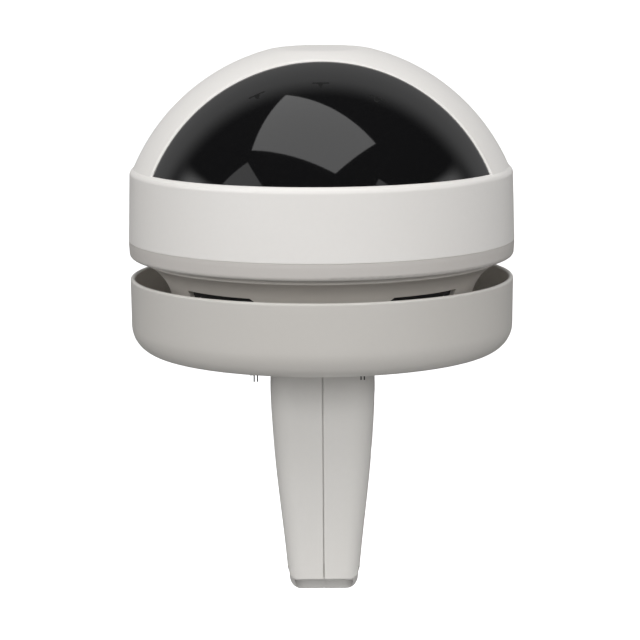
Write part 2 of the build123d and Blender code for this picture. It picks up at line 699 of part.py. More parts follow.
def smoked_window():
    """The smoked pane, its skirt down inside the band and its flange behind the arch."""
    inside = WINDOW_R - WINDOW_PANE
    above = block(-100, 100, -100, 100, SHOULDER_Z - 0.01, TOP_Z)
    pane = ((ball(WINDOW_R) - ball(inside)) & above) & behind_arch(-WINDOW_EDGE_GAP)
    flange = ((ball(SPHERE_R - WALL - GASKET) - ball(inside)) & above) & behind_arch(FLANGE_BEHIND)
    skirt_r = math.sqrt(WINDOW_R**2 - (SHOULDER_Z - SPHERE_Z) ** 2)
    skirt_in = math.sqrt(inside**2 - (SHOULDER_Z - SPHERE_Z) ** 2)
    skirt = tube(skirt_r, skirt_in, SHOULDER_Z - 7, SHOULDER_Z) & behind_arch(-WINDOW_EDGE_GAP)
    window = pane + flange + skirt
    for clip in clip_prisms():
        window -= clip
    return window


def clip_prisms():
    """T shapes pushed out from the dome's centre."""
    bar_w, bar_h = CLIP_BAR
    stem_w, stem_h = CLIP_STEM
    outline = [
        (-bar_w / 2, 0), (bar_w / 2, 0), (bar_w / 2, -bar_h), (stem_w / 2, -bar_h),
        (stem_w / 4, -bar_h - stem_h), (-stem_w / 4, -bar_h - stem_h),
        (-stem_w / 2, -bar_h), (-bar_w / 2, -bar_h),
    ]
    downwards = Plane(origin=(0, 0, 0), x_dir=(1, 0, 0), z_dir=(0, -1, 0))
    prism = extrude(downwards * make_face(Polyline(*outline, close=True)), SPHERE_R + 3)
    leaning = Pos(0, 0, SPHERE_Z) * Rot(-WINDOW_EDGE_LEAN, 0, 0)
    return [leaning * Rot(0, turn, 0) * Rot(-apart, 0, 0) * prism for apart, turn in CLIPS]


def window_clips():
    """Three black T-shaped tabs that come through the pane and lie flush with it."""
    shell = ball(WINDOW_R + 0.05) - ball(WINDOW_R - WINDOW_PANE - 1.2)
    return join([shell & clip for clip in clip_prisms()])


def window_gasket():
    """Rubber strip between the window's flange and the inside of the arch."""
    shell = ball(SPHERE_R - WALL) - ball(SPHERE_R - WALL - GASKET)
    strip = shell & behind_arch(FLANGE_BEHIND) & block(-100, 100, -100, 100, SHOULDER_Z + 0.3, TOP_Z - WALL)
    return strip - behind_arch(0.8)


def head_tray():
    """Lower half of the head: tapered band outside, drip edge under it, floor and step inside."""
    wall_r, step_r, step_z = BAND_IN_R - 2.3, BAND_IN_R - 0.2, BAND_BOTTOM_Z + 4.4
    tray = turned_polygon(
        (36, HEAD_BOTTOM_Z), (TRAY_FOOT_R - 6, HEAD_BOTTOM_Z), (TRAY_FOOT_R - 5, TRAY_FOOT_Z),
        (TRAY_FOOT_R, TRAY_FOOT_Z), (BAND_BOTTOM_R, TRAY_TAPER_Z), (BAND_BOTTOM_R, BAND_BOTTOM_Z),
        (step_r, BAND_BOTTOM_Z), (step_r, step_z), (wall_r, step_z), (wall_r, HEAD_BOTTOM_Z + WALL),
        (36, HEAD_BOTTOM_Z + WALL),
    )
    foot = tray.edges().filter_by(GeomType.CIRCLE).group_by(Axis.Z)[0].sort_by(SortBy.RADIUS)[-1:]
    tray = fillet(foot, TRAY_FOOT_ROUND)
    tray -= tube(BAND_BOTTOM_R, *SEAL)
    for turn in COVER_SCREW_TURNS:
        x, y = polar(COVER_SCREW_R, turn)
        tray -= cylinder(1.7, 140, 160, x, y) + cylinder(3.0, 140, HEAD_BOTTOM_Z + 1.7, x, y)
    for turn in TRAY_SCREW_TURNS:
        x, y = polar(TRAY_SCREW_R, turn)
        tray += cylinder(3.5, HEAD_BOTTOM_Z + 1, TURNTABLE[0], x, y)
        tray -= cylinder(1.5, HEAD_BOTTOM_Z + 1.5, TURNTABLE[0] + 1, x, y)
    return tray


def base_seal():
    return tube(BAND_IN_R, *SEAL)


def cover_screws():
    made = []
    for turn in COVER_SCREW_TURNS:
        x, y = polar(COVER_SCREW_R, turn)
        made.append(Pos(x, y, HEAD_BOTTOM_Z + 1.7) * Rot(180, 0, 0) * screw((1.5, 2.8, 1.6), 17, 0.7))
    return join(made)


# ---- inside the head ----
def turntable():
    """Plate that everything inside the head stands on, with the bearing's housing."""
    plate = cylinder(TURNTABLE_R, *TURNTABLE) + cylinder(41, HEAD_BOTTOM_Z + WALL, BEARING[1])
    plate -= cylinder(37, *BEARING) + cylinder(35.2, 140, 170)
    for turn in TRAY_SCREW_TURNS:
        plate -= cylinder(1.6, 150, 170, *polar(TRAY_SCREW_R, turn))
    return plate


def turntable_screws():
    return join([Pos(*polar(TRAY_SCREW_R, t), TURNTABLE[1]) * screw(M3, 8) for t in TRAY_SCREW_TURNS])


def pan_motor_bracket():
    half_x, half_y = MOTOR_PLATE_HALF
    front, back = PAN_PINION_Y - half_y, PAN_PINION_Y + half_y
    body = block(-half_x, half_x, front, back, *MOTOR_PLATE_Z) - cylinder(5, 160, 180, 0, PAN_PINION_Y)
    for side in (-1, 1):
        x0, x1 = sorted((side * (half_x - BOARD), side * half_x))
        body += block(x0, x1, front, back, TURNTABLE[1], MOTOR_PLATE_Z[1])
    return body


def pan_motor():
    low = MOTOR_PLATE_Z[1]
    body = cylinder(16, low, low + 19, 0, PAN_PINION_Y)
    body = fillet(body.edges().filter_by(GeomType.CIRCLE), 1.2)
    body += cylinder(4.8, MOTOR_PLATE_Z[0], low + 1, 0, PAN_PINION_Y)
    return body + cylinder(PAN_SHAFT_R, TURNTABLE[1] + 0.6, MOTOR_PLATE_Z[0], 0, PAN_PINION_Y)


def pan_pinion():
    half_pitch = 180 / PAN_PINION_TEETH
    body = gear(PAN_PINION_TEETH, PAN_MODULE, PAN_GEAR_Z[0] - 0.6, PAN_GEAR_Z[1] + 0.6, half_pitch)
    body -= cylinder(PAN_SHAFT_R + RUNNING, 150, 180)
    return Pos(0, PAN_PINION_Y, 0) * body


def slip_ring_rotor():
    """Upper half of the slip ring, with the arm that makes it turn with the head."""
    body = cylinder(9, 173.7, 179)
    body = fillet(body.edges().group_by(Axis.Z)[-1], 1)
    body += block(-46.5, -5, -3, 3, 176.5, 178.5)
    body += block(-46.5, -43.5, -3, 3, TURNTABLE[1], 178.5)
    return Rot(0, 0, -35) * body


def main_board():
    """Upright board at the back of the head."""
    board = block(-28, 28, MAIN_BOARD_Y, MAIN_BOARD_Y + BOARD, 164, 203)
    for x, z in BRACKET_SCREWS:
        board -= along_y(1.25, 60, 80, x, z)
    return board


def board_bracket():
    body = block(-25, 25, MAIN_BOARD_Y - BOARD, MAIN_BOARD_Y, TURNTABLE[1], 184)
    body += block(-25, 25, MAIN_BOARD_Y - 2.8, MAIN_BOARD_Y - 1, TURNTABLE[1], 162.5)
    for x, z in BRACKET_SCREWS:
        body -= along_y(1.25, 60, 80, x, z)
    return body


def board_parts():
    """Processor under its finned heat sink, memory and sockets on the back of the main board."""
    face = MAIN_BOARD_Y + BOARD
    made = [block(-8, 8, face, face + 1.4, 176, 192), heat_sink(face + 1.4)]
    for x in (-22, -15):
        made.append(block(x, x + 5, face, face + 1.2, 188, 196))
    for n in range(3):
        made.append(block(-20 + 14 * n, -10 + 14 * n, face, face + 3.4, 165, 170))
    return join(made)


def heat_sink(y):
    body = block(-9, 9, y, y + 1, 175, 193)
    for n in range(7):
        x = -8.6 + n * 2.7
        body += block(x, x + 1, y + 1, y + 4, 175, 193)
    return body


def yoke():
    """Two upright plates that carry the camera block's pivots."""
    made = []
    for side in (-1, 1):
        x0, x1 = sorted((side * YOKE_X[0], side * YOKE_X[1]))
        reach = 22 if side > 0 else 8
        plate = block(x0, x1, YOKE_FRONT_Y, reach, TURNTABLE[1], PIVOT_Z - 8)
        plate += along_x(YOKE_BOSS_R, x0, x1, PIVOT_Y, PIVOT_Z)
        plate += block(x0, x1, PIVOT_Y - YOKE_BOSS_R, PIVOT_Y + YOKE_BOSS_R, PIVOT_Z - 12, PIVOT_Z)
        foot_x = sorted((side * YOKE_X[0], side * YOKE_FOOT_X))
        plate += block(*foot_x, YOKE_FRONT_Y, reach, TURNTABLE[1], TURNTABLE[1] + WALL)
        plate -= along_x(BUSH_R, x0 - 1, x1 + 1, PIVOT_Y, PIVOT_Z)
        if side > 0:
            plate -= along_x(3, x0 - 1, x1 + 1, *tilt_pinion_place())
        for x, y in YOKE_SCREWS:
            plate -= cylinder(1.6, 150, 170, side * x, y)
        made.append(plate)
    return join(made)


def yoke_screws():
    made = []
    for side in (-1, 1):
        for x, y in YOKE_SCREWS:
            made.append(Pos(side * x, y, TURNTABLE[1] + WALL) * screw(M3, 2.4))
    return join(made)


def tilt_bushes():
    made = []
    for side in (-1, 1):
        x0, x1 = sorted((side * YOKE_X[0], side * YOKE_X[1]))
        bush = along_x(BUSH_R, x0, x1, PIVOT_Y, PIVOT_Z)
        flange_x = sorted((side * YOKE_X[1], side * (YOKE_X[1] + 1.2)))
        bush += along_x(BUSH_R + 2, *flange_x, PIVOT_Y, PIVOT_Z)
        made.append(bush - along_x(TRUNNION_R + RUNNING, -60, 60, PIVOT_Y, PIVOT_Z))
    return join(made)


def tilt_pinion_place():
    distance = (TILT_TEETH + TILT_PINION_TEETH) * TILT_MODULE / 2
    y, z = polar(distance, TILT_MESH_ANGLE)
    return PIVOT_Y + y, PIVOT_Z + z


def tilt_motor():
    y, z = tilt_pinion_place()
    body = along_x(11.5, YOKE_X[1], YOKE_X[1] + 13, y, z)
    body = fillet(body.edges().filter_by(GeomType.CIRCLE), 1)
    body += along_x(2.9, YOKE_X[0], YOKE_X[1] + 1, y, z)
    return body + along_x(TILT_SHAFT_R, TILT_GEAR_X[0] - 0.5, YOKE_X[0], y, z)


def gear_across(teeth, x0, x1, y, z, turn):
    """A tilt gear, lying along X."""
    plane = Plane(origin=(x0, y, z), x_dir=(0, 1, 0), z_dir=(1, 0, 0))
    return plane.location * gear(teeth, TILT_MODULE, 0, x1 - x0, turn)


def tilt_pinion():
    y, z = tilt_pinion_place()
    turn = TILT_MESH_ANGLE + 180 + 180 / TILT_PINION_TEETH
    body = gear_across(TILT_PINION_TEETH, TILT_GEAR_X[0], TILT_GEAR_X[1], y, z, turn)
    return body - along_x(TILT_SHAFT_R + RUNNING, 30, 60, y, z)


# ---- camera block, drawn level and then tilted up ----
def tilted(shape):
    return Pos(0, PIVOT_Y, PIVOT_Z) * Rot(-REST_TILT, 0, 0) * shape


def tilt_sector():
    """Toothed sector on the right-hand trunnion."""
    x0, x1 = TILT_GEAR_X
    full = gear_across(TILT_TEETH, x0, x1, PIVOT_Y, PIVOT_Z, TILT_MESH_ANGLE)
    half = TILT_SECTOR_SPAN / 2
    spread = (-half, -half / 2, 0, half / 2, half)
    corners = [(0.0, 0.0)] + [polar(40, TILT_MESH_ANGLE + a) for a in spread]
    wedge_plane = Plane(origin=(x0 - 1, PIVOT_Y, PIVOT_Z), x_dir=(0, 1, 0), z_dir=(1, 0, 0))
    wedge = extrude(wedge_plane * make_face(Polyline(*corners, close=True)), x1 - x0 + 2)
    body = (full & wedge) + along_x(7.5, x0, x1, PIVOT_Y, PIVOT_Z)
    return body - along_x(TRUNNION_R, 30, 60, PIVOT_Y, PIVOT_Z)


def block_half(y0, y1, open_towards):
    """One half of the camera block's case, hollow and open on one side."""
    hx, hz = BLOCK_HALF
    w = BLOCK_WALL
    case = block(-hx, hx, y0, y1, -hz, hz)
    case = fillet(case.edges().filter_by(Axis.Y), 4)
    inner_y = (y0 + w, y1 + 1) if open_towards > 0 else (y0 - 1, y1 - w)
    hollow = block(-hx + w, hx - w, *inner_y, -hz + w, hz - w)
    return case - hollow


def block_front():
    case = block_half(BLOCK_Y[0], BLOCK_Y[1], 1) - along_y(BARREL_R, -40, 0)
    for x, z in BLOCK_SCREWS:
        case += along_y(3.0, BLOCK_Y[0] + 1, BLOCK_Y[1], x, z)
        case -= along_y(1.25, BLOCK_Y[0] + 4, BLOCK_Y[1] + 1, x, z)
    return tilted(case)


def block_rear():
    case = block_half(BLOCK_Y[1], BLOCK_Y[2], -1)
    for x, z in BLOCK_SCREWS:
        case += along_y(3.0, BLOCK_Y[1], BLOCK_Y[2] - 1, x, z)
        case -= along_y(1.4, BLOCK_Y[1] - 1, BLOCK_Y[2] + 1, x, z)
        case -= along_y(2.5, BLOCK_Y[2] - 1.8, BLOCK_Y[2] + 1, x, z)
    for n in range(5):
        case -= block(-12, 12, 10, 20, -9 + n * 4, -7.5 + n * 4)
    return tilted(case)


def block_screws():
    made = []
    for x, z in BLOCK_SCREWS:
        made.append(Pos(x, BLOCK_Y[2] - 1.8, z) * Rot(-90, 0, 0) * screw(M25, 30))
    return tilted(join(made))


def trunnions():
    """Left and right pivot pins, each with the flange that holds it to the case."""
    hx = BLOCK_HALF[0]
    made = []
    for side in (-1, 1):
        pin_x = sorted((side * hx, side * (YOKE_X[1] + 2)))
        flange_x = sorted((side * hx, side * (hx + 2)))
        made.append(along_x(TRUNNION_R, *pin_x, 0, 0) + along_x(8, *flange_x, 0, 0))
    return tilted(join(made))


def lens_barrel():
    barrel = along_y(BARREL_R, BARREL_FRONT_Y, -10) - along_y(8.6, -40, -30.2) - along_y(6.2, -40, 0)
    barrel -= along_y(7.0, -14, 0)
    return tilted(barrel)


def front_lens():
    """Domed front element, seated just inside the barrel's mouth."""
    dome = Pos(0, -17.6, 0) * Sphere(15.0)
    return tilted(dome & block(-20, 20, -40, -30.2, -20, 20))


def rear_lens():
    return tilted(Pos(0, 4, 0) * Sphere(18.0) & along_y(7.0, -13.8, -11))


def grip_ring(y0, y1, ribs):
    """A ribbed ring that turns on the barrel."""
    ring = along_y(RING_R, y0, y1) - along_y(BARREL_R + RUNNING, -40, 0)
    for n in range(ribs):
        x, z = polar(RING_R + 0.25, n * 360 / ribs)
        ring -= along_y(0.7, y0 - 1, y1 + 1, x, z)
    return tilted(ring)


def led_board():
    board = along_y(20, -23.6, -22) - along_y(RING_R + 0.6, -30, -15)
    return tilted(board)


def ir_leds():
    made = []
    for n in range(LED_COUNT):
        x, z = polar(LED_CIRCLE_R, (n + 0.5) * 360 / LED_COUNT)
        made.append(along_y(LED_R, -26.2, -23.6, x, z) + Pos(x, -26.2, z) * Sphere(LED_R))
    return tilted(join(made))


def filter_frame():
    """Guide that the day and night filter slides in."""
    frame = block(-18, 18, -8.0, -4.6, -9, 9) - block(-16, 16, -6.9, -5.1, -7, 7)
    return tilted(frame - block(-5.5, 5.5, -10, 0, -5, 5))


def filter_slider():
    """The slider with its clear pane and its infrared-blocking pane side by side."""
    slider = block(-12, 4, -6.8, -5.2, -6.8, 6.8)
    made = []
    for x in (-8, 0):
        slider -= block(x - 3.4, x + 3.4, -8, -4, -4.5, 4.5)
        made.append(block(x - 3.4, x + 3.4, -6.5, -5.5, -4.5, 4.5))
    return tilted(join([slider] + made))


def sensor_board():
    board = block(-16, 16, 1.6, 3.2, -14, 14)
    for x in (-13, 13):
        for z in (-11, 11):
            board -= along_y(1.2, 0, 5, x, z)
    return tilted(board)


def image_sensor():
    return tilted(block(-6, 6, -0.4, 1.6, -5, 5))


# ---- write every piece ----
left_half, right_half = arm_halves()
PIECES = {
    "arm_left_half": left_half,
    "arm_right_half": right_half,
    "arm_screws": arm_screws(),
    "arm_boss": arm_boss(),
    "arm_boss_screws": arm_boss_screws(),
    "pole_socket": pole_socket(),
    "pole_set_screw": pole_set_screw(),
    "power_inlet": power_inlet(),
    "splash_bowl": bowl(),
    "contact_blocks": contact_blocks(),
    "contact_pins": contact_pins(),
    "power_board": power_board(),
    "power_parts": power_parts(),
    "neck_shell": neck_shell(),
    "vent_grilles": vent_grilles(),
    "bearing_plate": bearing_plate(),
    "pan_spindle": pan_spindle(),
    "spindle_nut": spindle_nut(),
    "bearing_inner_race": bearing_inner_race(),
    "bearing_balls": bearing_balls(),
    "pan_ring_gear": pan_ring_gear(),
    "slip_ring_stator": slip_ring_stator(),
    "fan_frame": fan_frame(),
    "base_m3_screws": join([neck_screws(), spindle_screws()]),
    "base_small_screws": join([plate_screws(), power_board_screws(), fan_screws()]),
    "fan_rotor": fan_rotor(),
    "dome_cover": dome_cover(),
    "smoked_window": smoked_window(),
    "window_clips": window_clips(),
    "window_gasket": window_gasket(),
    "head_tray": head_tray(),
    "base_seal": base_seal(),
    "head_screws": join([cover_screws(), turntable_screws(), yoke_screws()]),
    "bearing_outer_race": bearing_outer_race(),
    "turntable": turntable(),
    "pan_motor_bracket": pan_motor_bracket(),
    "pan_motor": pan_motor(),
    "pan_pinion": pan_pinion(),
    "slip_ring_rotor": slip_ring_rotor(),
    "main_board": main_board(),
    "board_bracket": board_bracket(),
    "board_parts": board_parts(),
    "yoke": yoke(),
    "tilt_bushes": tilt_bushes(),
    "tilt_motor": tilt_motor(),
    "tilt_pinion": tilt_pinion(),
    "tilt_sector": tilt_sector(),
    "block_front": block_front(),
    "block_rear": block_rear(),
    "block_screws": block_screws(),
    "trunnions": trunnions(),
    "lens_barrel": lens_barrel(),
    "lenses": join([front_lens(), rear_lens()]),
    "focus_ring": grip_ring(-31.5, -28.5, 36),
    "zoom_ring": grip_ring(-28.0, -24.8, 30),
    "sensor_board": join([sensor_board(), image_sensor()]),
    "led_board": led_board(),
    "ir_leds": ir_leds(),
    "filter_frame": filter_frame(),
    "filter_slider": filter_slider(),
}
for name, shape in PIECES.items():
    export_step(shape, f"parts/{name}.step")
print(len(PIECES), "nodes")
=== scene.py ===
import math
import bmesh
import bpy
import numpy as np
from mathutils import Matrix, Vector


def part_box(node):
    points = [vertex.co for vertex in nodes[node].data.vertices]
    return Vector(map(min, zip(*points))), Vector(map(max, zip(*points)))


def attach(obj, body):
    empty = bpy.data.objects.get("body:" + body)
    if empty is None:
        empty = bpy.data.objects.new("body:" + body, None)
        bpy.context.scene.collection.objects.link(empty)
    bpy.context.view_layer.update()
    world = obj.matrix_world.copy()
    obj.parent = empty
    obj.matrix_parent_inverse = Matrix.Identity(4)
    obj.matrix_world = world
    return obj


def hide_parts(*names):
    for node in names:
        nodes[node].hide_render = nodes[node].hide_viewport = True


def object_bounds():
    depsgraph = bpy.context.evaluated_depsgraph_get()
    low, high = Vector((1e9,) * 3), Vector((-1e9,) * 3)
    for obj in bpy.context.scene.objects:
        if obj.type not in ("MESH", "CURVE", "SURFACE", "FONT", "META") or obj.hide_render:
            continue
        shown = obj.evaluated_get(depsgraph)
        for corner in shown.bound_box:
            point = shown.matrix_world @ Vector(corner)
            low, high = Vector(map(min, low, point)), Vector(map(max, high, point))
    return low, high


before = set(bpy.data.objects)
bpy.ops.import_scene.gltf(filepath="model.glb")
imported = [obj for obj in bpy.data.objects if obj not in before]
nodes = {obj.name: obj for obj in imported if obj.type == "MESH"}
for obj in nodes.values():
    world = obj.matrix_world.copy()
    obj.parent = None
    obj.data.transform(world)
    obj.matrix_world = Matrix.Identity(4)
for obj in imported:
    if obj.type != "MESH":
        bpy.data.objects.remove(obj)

cad_low, cad_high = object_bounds()
scene = bpy.context.scene
mm = 0.001


# ---- Studio ----
# A light tent: a broad bright front that reaches 38 degrees up, two fill lights over it, a dim back, a dark ceiling
# with one soft box in it, and a pale floor. Two small boxes show only as reflections in the window. The camera
# looks down on the head a little, through a long lens, 1.43 m in front of the pan axis.
rim_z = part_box("splash_bowl")[1].z
camera_back, camera_up = 1.428, 0.2085
pitch_down, horizon_lean = math.radians(9.16), math.radians(-0.38)
eye = bpy.data.objects.new("eye", bpy.data.cameras.new("eye"))
scene.collection.objects.link(eye)
eye.data.lens = 172.2
eye.data.sensor_width = 36.0
eye.data.shift_x = -0.0034
eye.data.clip_end = 200.0
eye.matrix_world = (
    Matrix.Translation((0, -camera_back, rim_z + camera_up))
    @ Matrix.Rotation(math.pi / 2 - pitch_down, 4, "X")
    @ Matrix.Rotation(horizon_lean, 4, "Z")
)
scene.camera = eye
scene.view_settings.view_transform = "Standard"


def soft_box(name, centre, edge_x, edge_y, width, height, radiance):
    """A rectangular lamp whose sides run along edge_x and edge_y. It shines away from their cross product."""
    lamp = bpy.data.objects.new(name, bpy.data.lights.new(name, "AREA"))
    scene.collection.objects.link(lamp)
    lamp.data.shape = "RECTANGLE"
    lamp.data.size = width
    lamp.data.size_y = height
    lamp.data.energy = radiance * width * height * math.pi
    x = Vector(edge_x).normalized()
    z = x.cross(Vector(edge_y)).normalized()
    lamp.matrix_world = Matrix.Translation(centre) @ Matrix((x, z.cross(x), z)).transposed().to_4x4()
    return lamp


soft_box("overhead_box", (-0.026, -0.301, 0.950), (0.798, -0.596, 0.086), (0.576, 0.804, 0.150), 0.78, 0.52, 1.65)
back_box = soft_box("back_box", (0, 1.9, 0.45), (-1, 0, 0), (0, 0.15, 1), 0.5, 0.8, 6.0)
back_box.visible_glossy = False
tip_card = soft_box("tip_card", (0, -0.12, -0.16), (1, 0, 0), (0, -1, 0.2), 0.24, 0.12, 2.6)
tip_card.visible_glossy = False


box_distance = 1.6


def hung_box(name, turn, rise, side, radiance, lean=0.0, seen=False):
    """A square soft box, that far round to the right and up. One that is seen only shows as a reflection."""
    a, e, t = math.radians(turn), math.radians(rise), math.radians(lean)
    across = Vector((math.cos(a), math.sin(a), 0))
    away = Vector((math.sin(a) * math.cos(e), -math.cos(a) * math.cos(e), math.sin(e)))
    over = away.cross(across)
    x, y = across * math.cos(t) + over * math.sin(t), over * math.cos(t) - across * math.sin(t)
    lamp = soft_box(name, Vector((0, 0, rim_z)) + away * box_distance, x, y, side, side, radiance)
    lamp.visible_diffuse = not seen
    lamp.visible_glossy = seen


hung_box("left_fill", -42.0, 42.0, 0.6, 3.8)
hung_box("right_fill", 42.0, 42.0, 0.6, 3.2)
hung_box("left_mirrored", -54.0, 35.0, 0.5, 0.8, 60.0, True)
hung_box("right_mirrored", 40.0, 36.0, 0.2, 0.7, 45.0, True)

floor_drop, floor_reach = 0.30, 90.0
grid = bpy.data.meshes.new("floor")
shape = bmesh.new()
bmesh.ops.create_circle(shape, cap_ends=True, radius=floor_reach, segments=96)
bmesh.ops.translate(shape, verts=shape.verts, vec=(0, 0, cad_low.z - floor_drop))
shape.to_mesh(grid)
shape.free()
floor = bpy.data.objects.new("floor", grid)
scene.collection.objects.link(floor)
floor.visible_diffuse = False
floor.visible_glossy = False
paper = bpy.data.materials.new("pale_paper")
paper.use_nodes = True
paper_look = paper.node_tree.nodes["Principled BSDF"]
paper_look.inputs["Base Color"].default_value = (0.82, 0.82, 0.82, 1)
paper_look.inputs["Roughness"].default_value = 0.9
paper_look.inputs["Emission Color"].default_value = (1, 1, 1, 1)
paper_look.inputs["Emission Strength"].default_value = 0.9
grid.materials.append(paper)


def put(tree, kind, inputs=(), **settings):
    """Adds a node. Each of its inputs takes a plain value or the output of another node."""
    node = tree.nodes.new(kind)
    for key, value in settings.items():
        setattr(node, key, value)
    for key, value in dict(inputs).items():
        if isinstance(value, bpy.types.NodeSocket):
            tree.links.new(value, node.inputs[key])
        else:
            node.inputs[key].default_value = value
    return node


def fade(tree, value, start, end, low, high):
    """Turns value, from start to end, smoothly into low to high."""
    limits = {"Value": value, "From Min": start, "From Max": end, "To Min": low, "To Max": high}
    return put(tree, "ShaderNodeMapRange", limits, interpolation_type="SMOOTHSTEP").outputs["Result"]


def calculate(tree, how, a, b, c=0.0):
    return put(tree, "ShaderNodeMath", {0: a, 1: b, 2: c}, operation=how).outputs[0]


front_glow, back_glow, under_glow, ceiling_glow = 3.1, 0.62, 0.16, 0.03
room = bpy.data.worlds.new("room")
room.use_nodes = True
scene.world = room
tent = room.node_tree
tent.nodes.clear()
looking = put(tent, "ShaderNodeTexCoord").outputs["Generated"]
looking = put(tent, "ShaderNodeSeparateXYZ", {0: looking})
across, away, up = looking.outputs
in_front = fade(tent, away, 0.30, -0.15, 0.0, 1.0)
low_enough = fade(tent, up, 0.53, 0.41, 0.0, 1.0)
left_right = fade(tent, across, -1.0, 1.0, 1.06, 0.90)
dim_low = fade(tent, up, 0.02, 0.28, 0.22, 1.12)
front = calculate(tent, "MULTIPLY", calculate(tent, "MULTIPLY", in_front, low_enough), left_right)
front = calculate(tent, "MULTIPLY", front, dim_low)
back = fade(tent, away, 0.16, 0.46, 0.0, back_glow)
above = calculate(tent, "MULTIPLY_ADD", front, front_glow, back)
above = calculate(tent, "ADD", above, ceiling_glow)
level = fade(tent, up, -0.06, 0.03, 0.0, 1.0)
all_round = put(tent, "ShaderNodeMix", {0: level, 2: under_glow, 3: above}).outputs[0]
sky = put(tent, "ShaderNodeBackground", {"Strength": all_round})
put(tent, "ShaderNodeOutputWorld", {0: sky.outputs[0]})


# ---- Pole socket, set screw and lead inlet ----
# The arm slides over its pole with a turned steel tube that has a flange between two ribs of the arm.
# A hexagon-socket screw pins it, and the black inlet above it takes the lead that comes up the pole.
def new_finish(name, **settings):
    """A material, with the settings that are the same all over it on its shader."""
    made = bpy.data.materials.new(name)
    made.use_nodes = True
    for key, value in settings.items():
        made.node_tree.nodes["Principled BSDF"].inputs[key.replace("_", " ")].default_value = value
    return made


def speckle(made, per_metre, low, high, stretch=(1, 1, 1), detail=4.0):
    """Noise of that fineness over the piece, as a value between low and high."""
    tree = made.node_tree
    place = put(tree, "ShaderNodeTexCoord").outputs["Object"]
    place = put(tree, "ShaderNodeMapping", {"Vector": place, "Scale": stretch}).outputs[0]
    noise = put(tree, "ShaderNodeTexNoise", {"Vector": place, "Scale": per_metre, "Detail": detail})
    limits = {"Value": noise.outputs[0], "From Min": 0.3, "From Max": 0.7, "To Min": low, "To Max": high}
    return put(tree, "ShaderNodeMapRange", limits).outputs["Result"]


def over(made, factor, under, colour):
    """Lays a colour over another one as far as factor says."""
    ends = [c if isinstance(c, bpy.types.NodeSocket) else (*c, 1.0) for c in (under, colour)]
    return put(made.node_tree, "ShaderNodeMix", {0: factor, 6: ends[0], 7: ends[1]}, data_type="RGBA").outputs[2]


def relief(made, height, depth, under=None):
    """Raises the surface by height times depth, over the relief under it."""
    bump = put(made.node_tree, "ShaderNodeBump", {"Height": height, "Distance": depth})
    if under is not None:
        made.node_tree.links.new(under, bump.inputs["Normal"])
    return bump.outputs["Normal"]


def edge_wear_and_highlight(made, width):
    """1 along the sharp edges of the piece and 0 on its faces: edge wear on metal and black plastic, a painted
    highlight on the white mouldings.
    """
    tree = made.node_tree
    softened = put(tree, "ShaderNodeBevel", {"Radius": width}, samples=4).outputs[0]
    facing = put(tree, "ShaderNodeNewGeometry").outputs["Normal"]
    agree = put(tree, "ShaderNodeVectorMath", {0: softened, 1: facing}, operation="DOT_PRODUCT")
    return fade(tree, agree.outputs["Value"], 0.99, 0.86, 0.0, 1.0)


def paint(made, **sockets):
    for key, value in sockets.items():
        made.node_tree.links.new(value, made.node_tree.nodes["Principled BSDF"].inputs[key.replace("_", " ")])
    return made


def lathed(name, colour, worn, rough, **settings):
    """Metal turned on a lathe about the pan axis: fine rings, smears of oil, bright edges."""
    made = new_finish(name, Metallic=1.0, **settings)
    tree = made.node_tree
    place = put(tree, "ShaderNodeTexCoord").outputs["Object"]
    rings = put(
        tree, "ShaderNodeTexWave", {"Vector": place, "Scale": 700.0, "Distortion": 0.6, "Detail": 2.0},
        wave_type="RINGS", rings_direction="Z",
    ).outputs[0]
    base = over(made, speckle(made, 55, 0, 1), colour, [c * 0.82 for c in colour])
    paint(
        made,
        Base_Color=over(made, edge_wear_and_highlight(made, 0.5 * mm), base, worn),
        Roughness=speckle(made, 120, rough - 0.07, rough + 0.09),
        Normal=relief(made, rings, 0.012 * mm, relief(made, speckle(made, 1500, 0, 1), 0.01 * mm)),
    )
    return made


def dress(made, *names):
    """Gives carried-over pieces their finish."""
    for name in names:
        nodes[name].data.materials.clear()
        nodes[name].data.materials.append(made)


steel = lathed("turned_steel", (0.46, 0.455, 0.45), (0.72, 0.72, 0.71), 0.30)
dress(steel, "pole_socket", "bearing_inner_race", "bearing_outer_race")


def moulded_black(name, colour, rough, texture):
    """Black engineering plastic: spark-eroded grain, greyer where hands and edges rub."""
    made = new_finish(name)
    grey = [c + 0.03 for c in colour]
    base = over(made, speckle(made, 40, 0, 0.6), colour, [c * 1.7 for c in colour])
    paint(
        made,
        Base_Color=over(made, edge_wear_and_highlight(made, 0.3 * mm), base, grey),
        Roughness=speckle(made, 300, rough - 0.08, rough + 0.10),
        Normal=relief(made, speckle(made, 2600, 0, 1), texture),
    )
    return made


black_plastic = moulded_black("black_plastic", (0.012, 0.012, 0.013), 0.46, 0.03 * mm)
dress(black_plastic, "power_inlet", "vent_grilles", "contact_blocks", "slip_ring_stator", "slip_ring_rotor")
dress(black_plastic, "block_front", "block_rear", "filter_frame", "filter_slider")


